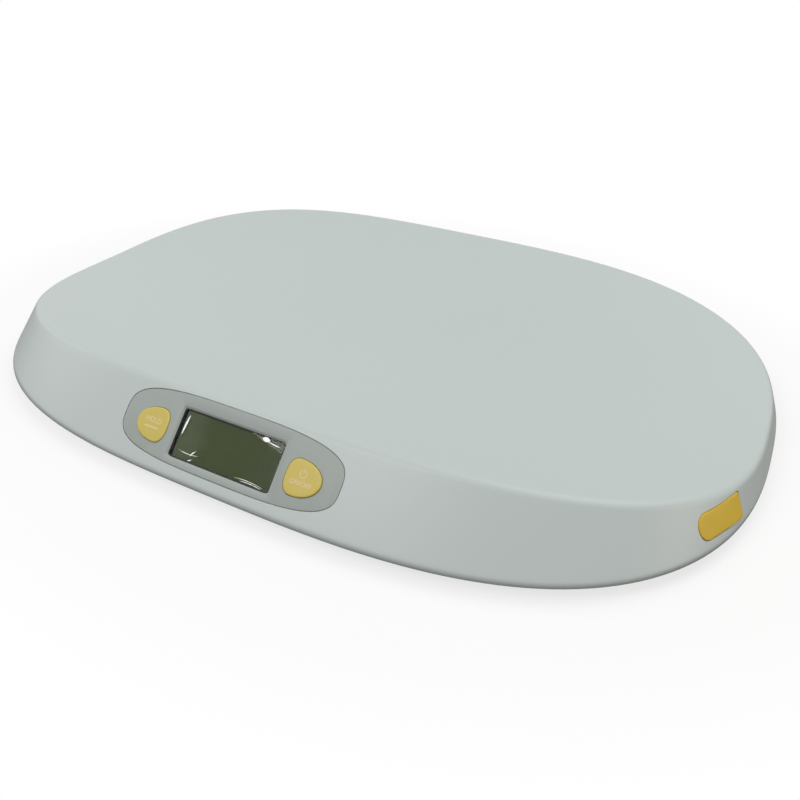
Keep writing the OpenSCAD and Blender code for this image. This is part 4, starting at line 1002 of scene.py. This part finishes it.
# %% Cells and coiled contacts
AAA_X, AAA_Y, AAA_Z, AAA_PITCH, AAA_BACK, CAN_R = -60, -10, 13.55, 11.2, 19.5, 5.25
CELL_AT = [Matrix.Translation(mm(AAA_X, AAA_Y + (k - 1.5) * AAA_PITCH, AAA_Z))
           @ Matrix.Rotation(pi if k % 2 == 0 else 0, 4, "Z") for k in range(4)]
jacket = surface("cell_jacket", (0.07, 0.08, 0.095), 0.28, drift=(0.06, 8), grain=(0.06, 0.5))
jacket_band = surface("cell_band", (0.50, 0.30, 0.12), 0.3, Metallic=0.7, grain=(0.06, 0.5))
tin = metal("cell_ends", (0.66, 0.66, 0.65), 0.3, grain=(0.15, 0.5))
JACKET_LOW, BAND_LOW, JACKET_HIGH = 0.7, 33.5, 42.8
cell = lathe([(0, 0.3), (3.3, 0.3), (3.7, 0), (4.7, 0), (5.1, 0.25), (CAN_R, JACKET_LOW),
              (CAN_R, BAND_LOW), (CAN_R, 42.4), (5.0, 43.1), (4.5, 43.4), (4.1, 43.2), (2.4, 43.2),
              (1.9, 43.4), (1.9, 44.2), (1.6, 44.5), (0, 44.5)], 48)


def cell_finish(at, normal):
    """The number of a cell's finish: 0 for the jacket, 1 for its band, 2 for the bare ends."""
    bare = not JACKET_LOW < at.z < JACKET_HIGH or at.xy.length < 4
    return 2 if bare else at.z > BAND_LOW


painted(cell, cell_finish)
moved(cell, Matrix.Translation(mm(-AAA_BACK, 0, 0)) @ Matrix.Rotation(pi / 2, 4, "Y"))
piece("aaa_cells", copies(cell, CELL_AT), [jacket, jacket_band, tin], "battery_cells", sharp=40)


def wire_skin(path, radius, steps=10):
    """A round wire through points in millimetres, as a closed skin."""
    last = len(path) - 1
    ways = [(path[min(i + 1, last)] - path[max(i - 1, 0)]).normalized() for i in range(last + 1)]
    sides = [ways[0].orthogonal().normalized()]
    for way in ways[1:]:
        sides.append((sides[-1] - way * sides[-1].dot(way)).normalized())

    def place(turn, i):
        t = 2 * pi * turn
        return (path[i] + radius * (cos(t) * sides[i] + sin(t) * ways[i].cross(sides[i]))) * MM

    return loft(steps, range(last + 1), place)


def coil_point(share):
    """A point of a contact's helix, which gets narrower from 3.9 mm to 2.8 mm."""
    t, r = 2 * pi * 3.5 * share, 3.9 - 1.1 * share
    return Vector((-24.65 + 4.8 * share, r * cos(t), r * sin(t)))


nickel = metal("contact_nickel", (0.66, 0.64, 0.59), 0.25, grain=(0.15, 0.5), drift=(0.06, 3))
coil = wire_skin([coil_point(k / 90) for k in range(91)], 0.35)
piece("contact_coils", copies(coil, CELL_AT), nickel, "contact_springs")
softened("contact_tabs", "contact_plates", 0.08, nickel)

# %% [markdown]
# ## Leads
# The red and the black lead run from the compartment to the board, and a pale grey one runs from
# each load cell. Clips hold them down. Their packed tubes are faceted, so joined copies are shaded
# smooth, and a soft plastic sleeve is their finish.

# %% Leads and clips
for node, name, colour in (("red_lead", "red_wire", (0.50, 0.012, 0.01)),
                           ("black_lead", "black_wire", (0.015, 0.015, 0.016)),
                           ("cell_leads", "cell_wires", (0.50, 0.50, 0.48))):
    sleeve = surface(f"{name}_sleeve", colour, 0.38, drift=(0.06, 12), grain=(0.15, 0.4))
    piece(name, packed(node), sleeve, node, sharp=60)
softened("clips", "lead_clips", 0.25, nylon)

# %% [markdown]
# ## The tape's case, spool and spring
# The tape winds on a spool in a round case, and a flat spiral spring draws it back in. The spool
# is turned as one closed ring. The wound tape shows the edges of its turns as fine circles, so
# its finish reads the distance from the axle.

# %% The tape's housing
case_plastic = surface("case_plastic", (0.045, 0.047, 0.05), 0.5, grain=(0.5, 0.4))
softened("reel_case", "tape_case", 0.25, case_plastic)
softened("reel_cover", "tape_cover", 0.25, case_plastic)
softened("axle", "tape_axle", 0.1, zinc)
spool_frame = (Matrix.Translation((TAB_AT.x, TAB_AT.y, 0)) @ along_pull
               @ Matrix.Translation(mm(-46, -14.5, 0)))
SPOOL_AT = spool_frame.translation
EAR_R, EAR_TOP, EARS = 22.1, 25.2, [radians(a) for a in (150, 215, 290)]
head_up = Matrix.Rotation(pi, 4, "X")
ear_places = [Matrix.Translation(mm(EAR_R * cos(a), EAR_R * sin(a), EAR_TOP)) @ head_up
              for a in EARS]
ear_screws = moved(copies(screw(15.7), ear_places), spool_frame)
piece("case_ear_screws", ear_screws, zinc, "tape_screws")

white_nylon = surface("spool_nylon", (0.72, 0.72, 0.70), 0.42, grain=(0.25, 0.4))
low, high, BORE_R, HUB_R, DRUM_R, RIM_IN, RIM_OUT = 14.3, 14.3 + 9.2, 3.06, 8.7, 10, 17.5, 17.8
spool = lathe([(BORE_R, high - 2), (HUB_R, high - 2), (HUB_R, low), (RIM_IN, low),
               (RIM_OUT, low + 0.3), (RIM_OUT, low + 0.6), (RIM_IN, low + 0.9),
               (DRUM_R, low + 0.9), (DRUM_R, high - 0.9), (RIM_IN, high - 0.9),
               (RIM_OUT, high - 0.6), (RIM_OUT, high - 0.3), (RIM_IN, high), (BORE_R, high),
               (BORE_R, high - 2)], 72)
piece("spool", moved(spool, spool_frame), white_nylon, "tape_spool")
wound, shader, point = start("wound_tape", 0.6)
x, y = point.along(X, SPOOL_AT), point.along(Y, SPOOL_AT)
turn_edges = ((x ** 2 + y ** 2) ** 0.5).near(0.35) < 0.06
cloth = point.noise(4).blend((0.62, 0.55, 0.30), (0.70, 0.62, 0.36))
join(shader, "Base Color", turn_edges.blend(cloth, (0.25, 0.22, 0.13)))
softened("wound_tape", "tape_roll", 0.05, wound)
blue_steel = metal("spring_steel", (0.20, 0.24, 0.34), 0.3, grain=(0.2, 0.5), drift=(0.1, 3))
piece("power_spring", packed("tape_spring"), blue_steel, "tape_spring", sharp=40)

# %% [markdown]
# ## The tape
# The free part of the tape runs from the spool through the snout to the tab. It is a thin strip
# that is cut into many short lengths, so that it can stretch when the tab is pulled. The marks
# read the place in space, and not on the strip, so they keep their spacing on a pulled tape.

# %% The strip and its marks
TAPE_START, TAPE_END, TAPE_T, TAPE_LOW, TAPE_W = -46, -3.1, 0.35, 15.4 - 21.35, 7.0
tape_cloth, shader, point = start("tape_cloth", 0.55)
along = point.along(PULL, TAB_AT) + 3.1
down = 22.4 - point.along(Z)
fine, middling, coarse = [(along.near(step) < half_w) * (down < length) for step, half_w, length in
                          ((1, 0.09, 1.6), (5, 0.11, 2.4), (10, 0.13, 3.6))]
weave = point.noise(0.5, stretch=(1, 1, 0.4))
cloth = weave.blend((0.66, 0.58, 0.30), (0.76, 0.68, 0.38))
join(shader, "Base Color", limited(fine + middling + coarse).blend(cloth, (0.02, 0.02, 0.022)))
join(shader, "Normal", bumped(weave, 0.3, 0.02))
strip = bar((TAPE_START, -TAPE_T, TAPE_LOW), (TAPE_END, 0, TAPE_LOW + TAPE_W), 0.06)
slice_up(strip, [TAPE_START + 0.7 * k for k in range(1, 60)], 1e-8)
tape = piece("tape_strip", moved(strip, tab_frame), tape_cloth, "tape_blade", rides=False)
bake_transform(tape)

# %% [markdown]
# ## The tape's tab
# The tab fills its opening and follows the wall's lean and bend, so that a finger can hook its
# square end. Its face is not a plane: for each point of the outline the depth comes from the same
# cone that the wall follows there.

# %% The tab
TAB_SOFT = 0.7


def tab_face(y, z):
    """Where the wall's outside lies along the pull."""
    return sqrt((TAB_BEND - z * tan(WALL_LEAN)) ** 2 - y ** 2) - TAB_BEND


def tab_point(turn, level):
    grow, depth, share = level
    y, z = [c * share for c in tab_ring(turn, grow)]
    return mm(-TAB_DEPTH if depth is None else tab_face(y, z) - depth, y, z)


tab_levels = [(0, None, 0), (0, None, 0.5), (0, None, 1), (0, TAB_SOFT, 1),
              *[(-TAB_SOFT * across, TAB_SOFT * down, 1)
                for across, down in quarter_round(0.4, 0.8, 1.2)],
              *[(-TAB_SOFT, 0, share) for share in (0.85, 0.6, 0.3, 0)]]
tab = loft(120, tab_levels, tab_point, closed=False)
piece("tab", moved(tab, tab_frame), tab_plastic, "tape_tab")

# %% [markdown]
# ## The floor and the light
# The photograph's background is plain white. A floor that is only lit would never be quite white
# without too much light on the scale, so its material adds a plain glow for the camera, weaker
# near the scale, where the shadow falls, and full further out. Seen from below, the floor is
# clear, and light passes it too, so that a lamp beneath it shows the underside. Soft light comes
# from the world and from large lamps, at a level at which a colour looks as it is written.

# %% Floor, world and lamps
def rays(shade, *kinds):
    """1 for rays of the given kinds, 0 for others."""
    total, *others = [shade.node("LightPath", out=f"Is {kind} Ray") for kind in kinds]
    for other in others:
        total = total.maths("MAXIMUM", total, other)
    return total


bm = bmesh.new()
bmesh.ops.create_grid(bm, x_segments=8, y_segments=8, size=6)
bmesh.ops.translate(bm, vec=(0, 0, -0.3 * MM), verts=bm.verts)
floor = as_object("floor", bm)
floor_paint, floor_shader, point = start("floor_paint", 0.9, Specular_IOR_Level=0.0)
shown = rays(point, "Camera", "Transmission")
join(floor_shader, "Base Color", shown.blend((0.17, 0.16, 0.16), (1, 1, 1)))
from_middle = ((point.along(X) / 330) ** 2 + (point.along(Y) / 250) ** 2) ** 0.5
glow_share = limited(from_middle * 1.2 - 0.5, 0.7, 1.0) * shown
glow = point.node("Emission", {"Color": (1, 1, 1, 1), "Strength": 1.0})
seen = glow_share.mix(Shade(floor_paint.node_tree, floor_shader.outputs[0]), glow)
below = point.node("NewGeometry", out="Backfacing")
below = below.maths("MAXIMUM", below, rays(point, "Shadow"))
show(floor_paint, below.mix(seen, point.clear()))
floor.data.materials.append(floor_paint)

WORLD_LEVEL = 0.45
world = bpy.data.worlds.new("studio")
bpy.context.scene.world = world
world.use_nodes = True
background = world.node_tree.nodes["Background"]
background.inputs["Color"].default_value = (1, 1, 1, 1)
shown = rays(Shade(world.node_tree), "Camera", "Glossy", "Transmission")
join(background, "Strength", shown * (1 - WORLD_LEVEL) + WORLD_LEVEL)


def lamp(name, where, size, watts, colour):
    """A large square lamp that faces the scale."""
    light = bpy.data.lights.new(name, "AREA")
    light.shape, light.size, light.energy, light.color = "SQUARE", size, watts, colour
    made = bpy.data.objects.new(name, light)
    facing = Vector(where).to_track_quat("Z", "Y").to_matrix().to_4x4()
    made.matrix_world = Matrix.Translation(where) @ facing
    made.visible_camera = False
    bpy.context.scene.collection.objects.link(made)


lamp("key_lamp", (-0.45, -1.05, 1.35), 0.8, 8.3, (1, 0.965, 0.985))
lamp("top_lamp", (0.5, 0.6, 1.7), 1.4, 9.5, (0.985, 1, 0.995))
lamp("right_lamp", (1.45, 0.0, 0.4), 0.6, 2.9, (1, 0.86, 0.77))
lamp("left_lamp", (-1.4, -0.4, 0.6), 0.5, 1.6, (1, 0.99, 0.98))
lamp("under_lamp", (0.3, -0.5, -1.2), 1.2, 7.0, (1, 1, 1))
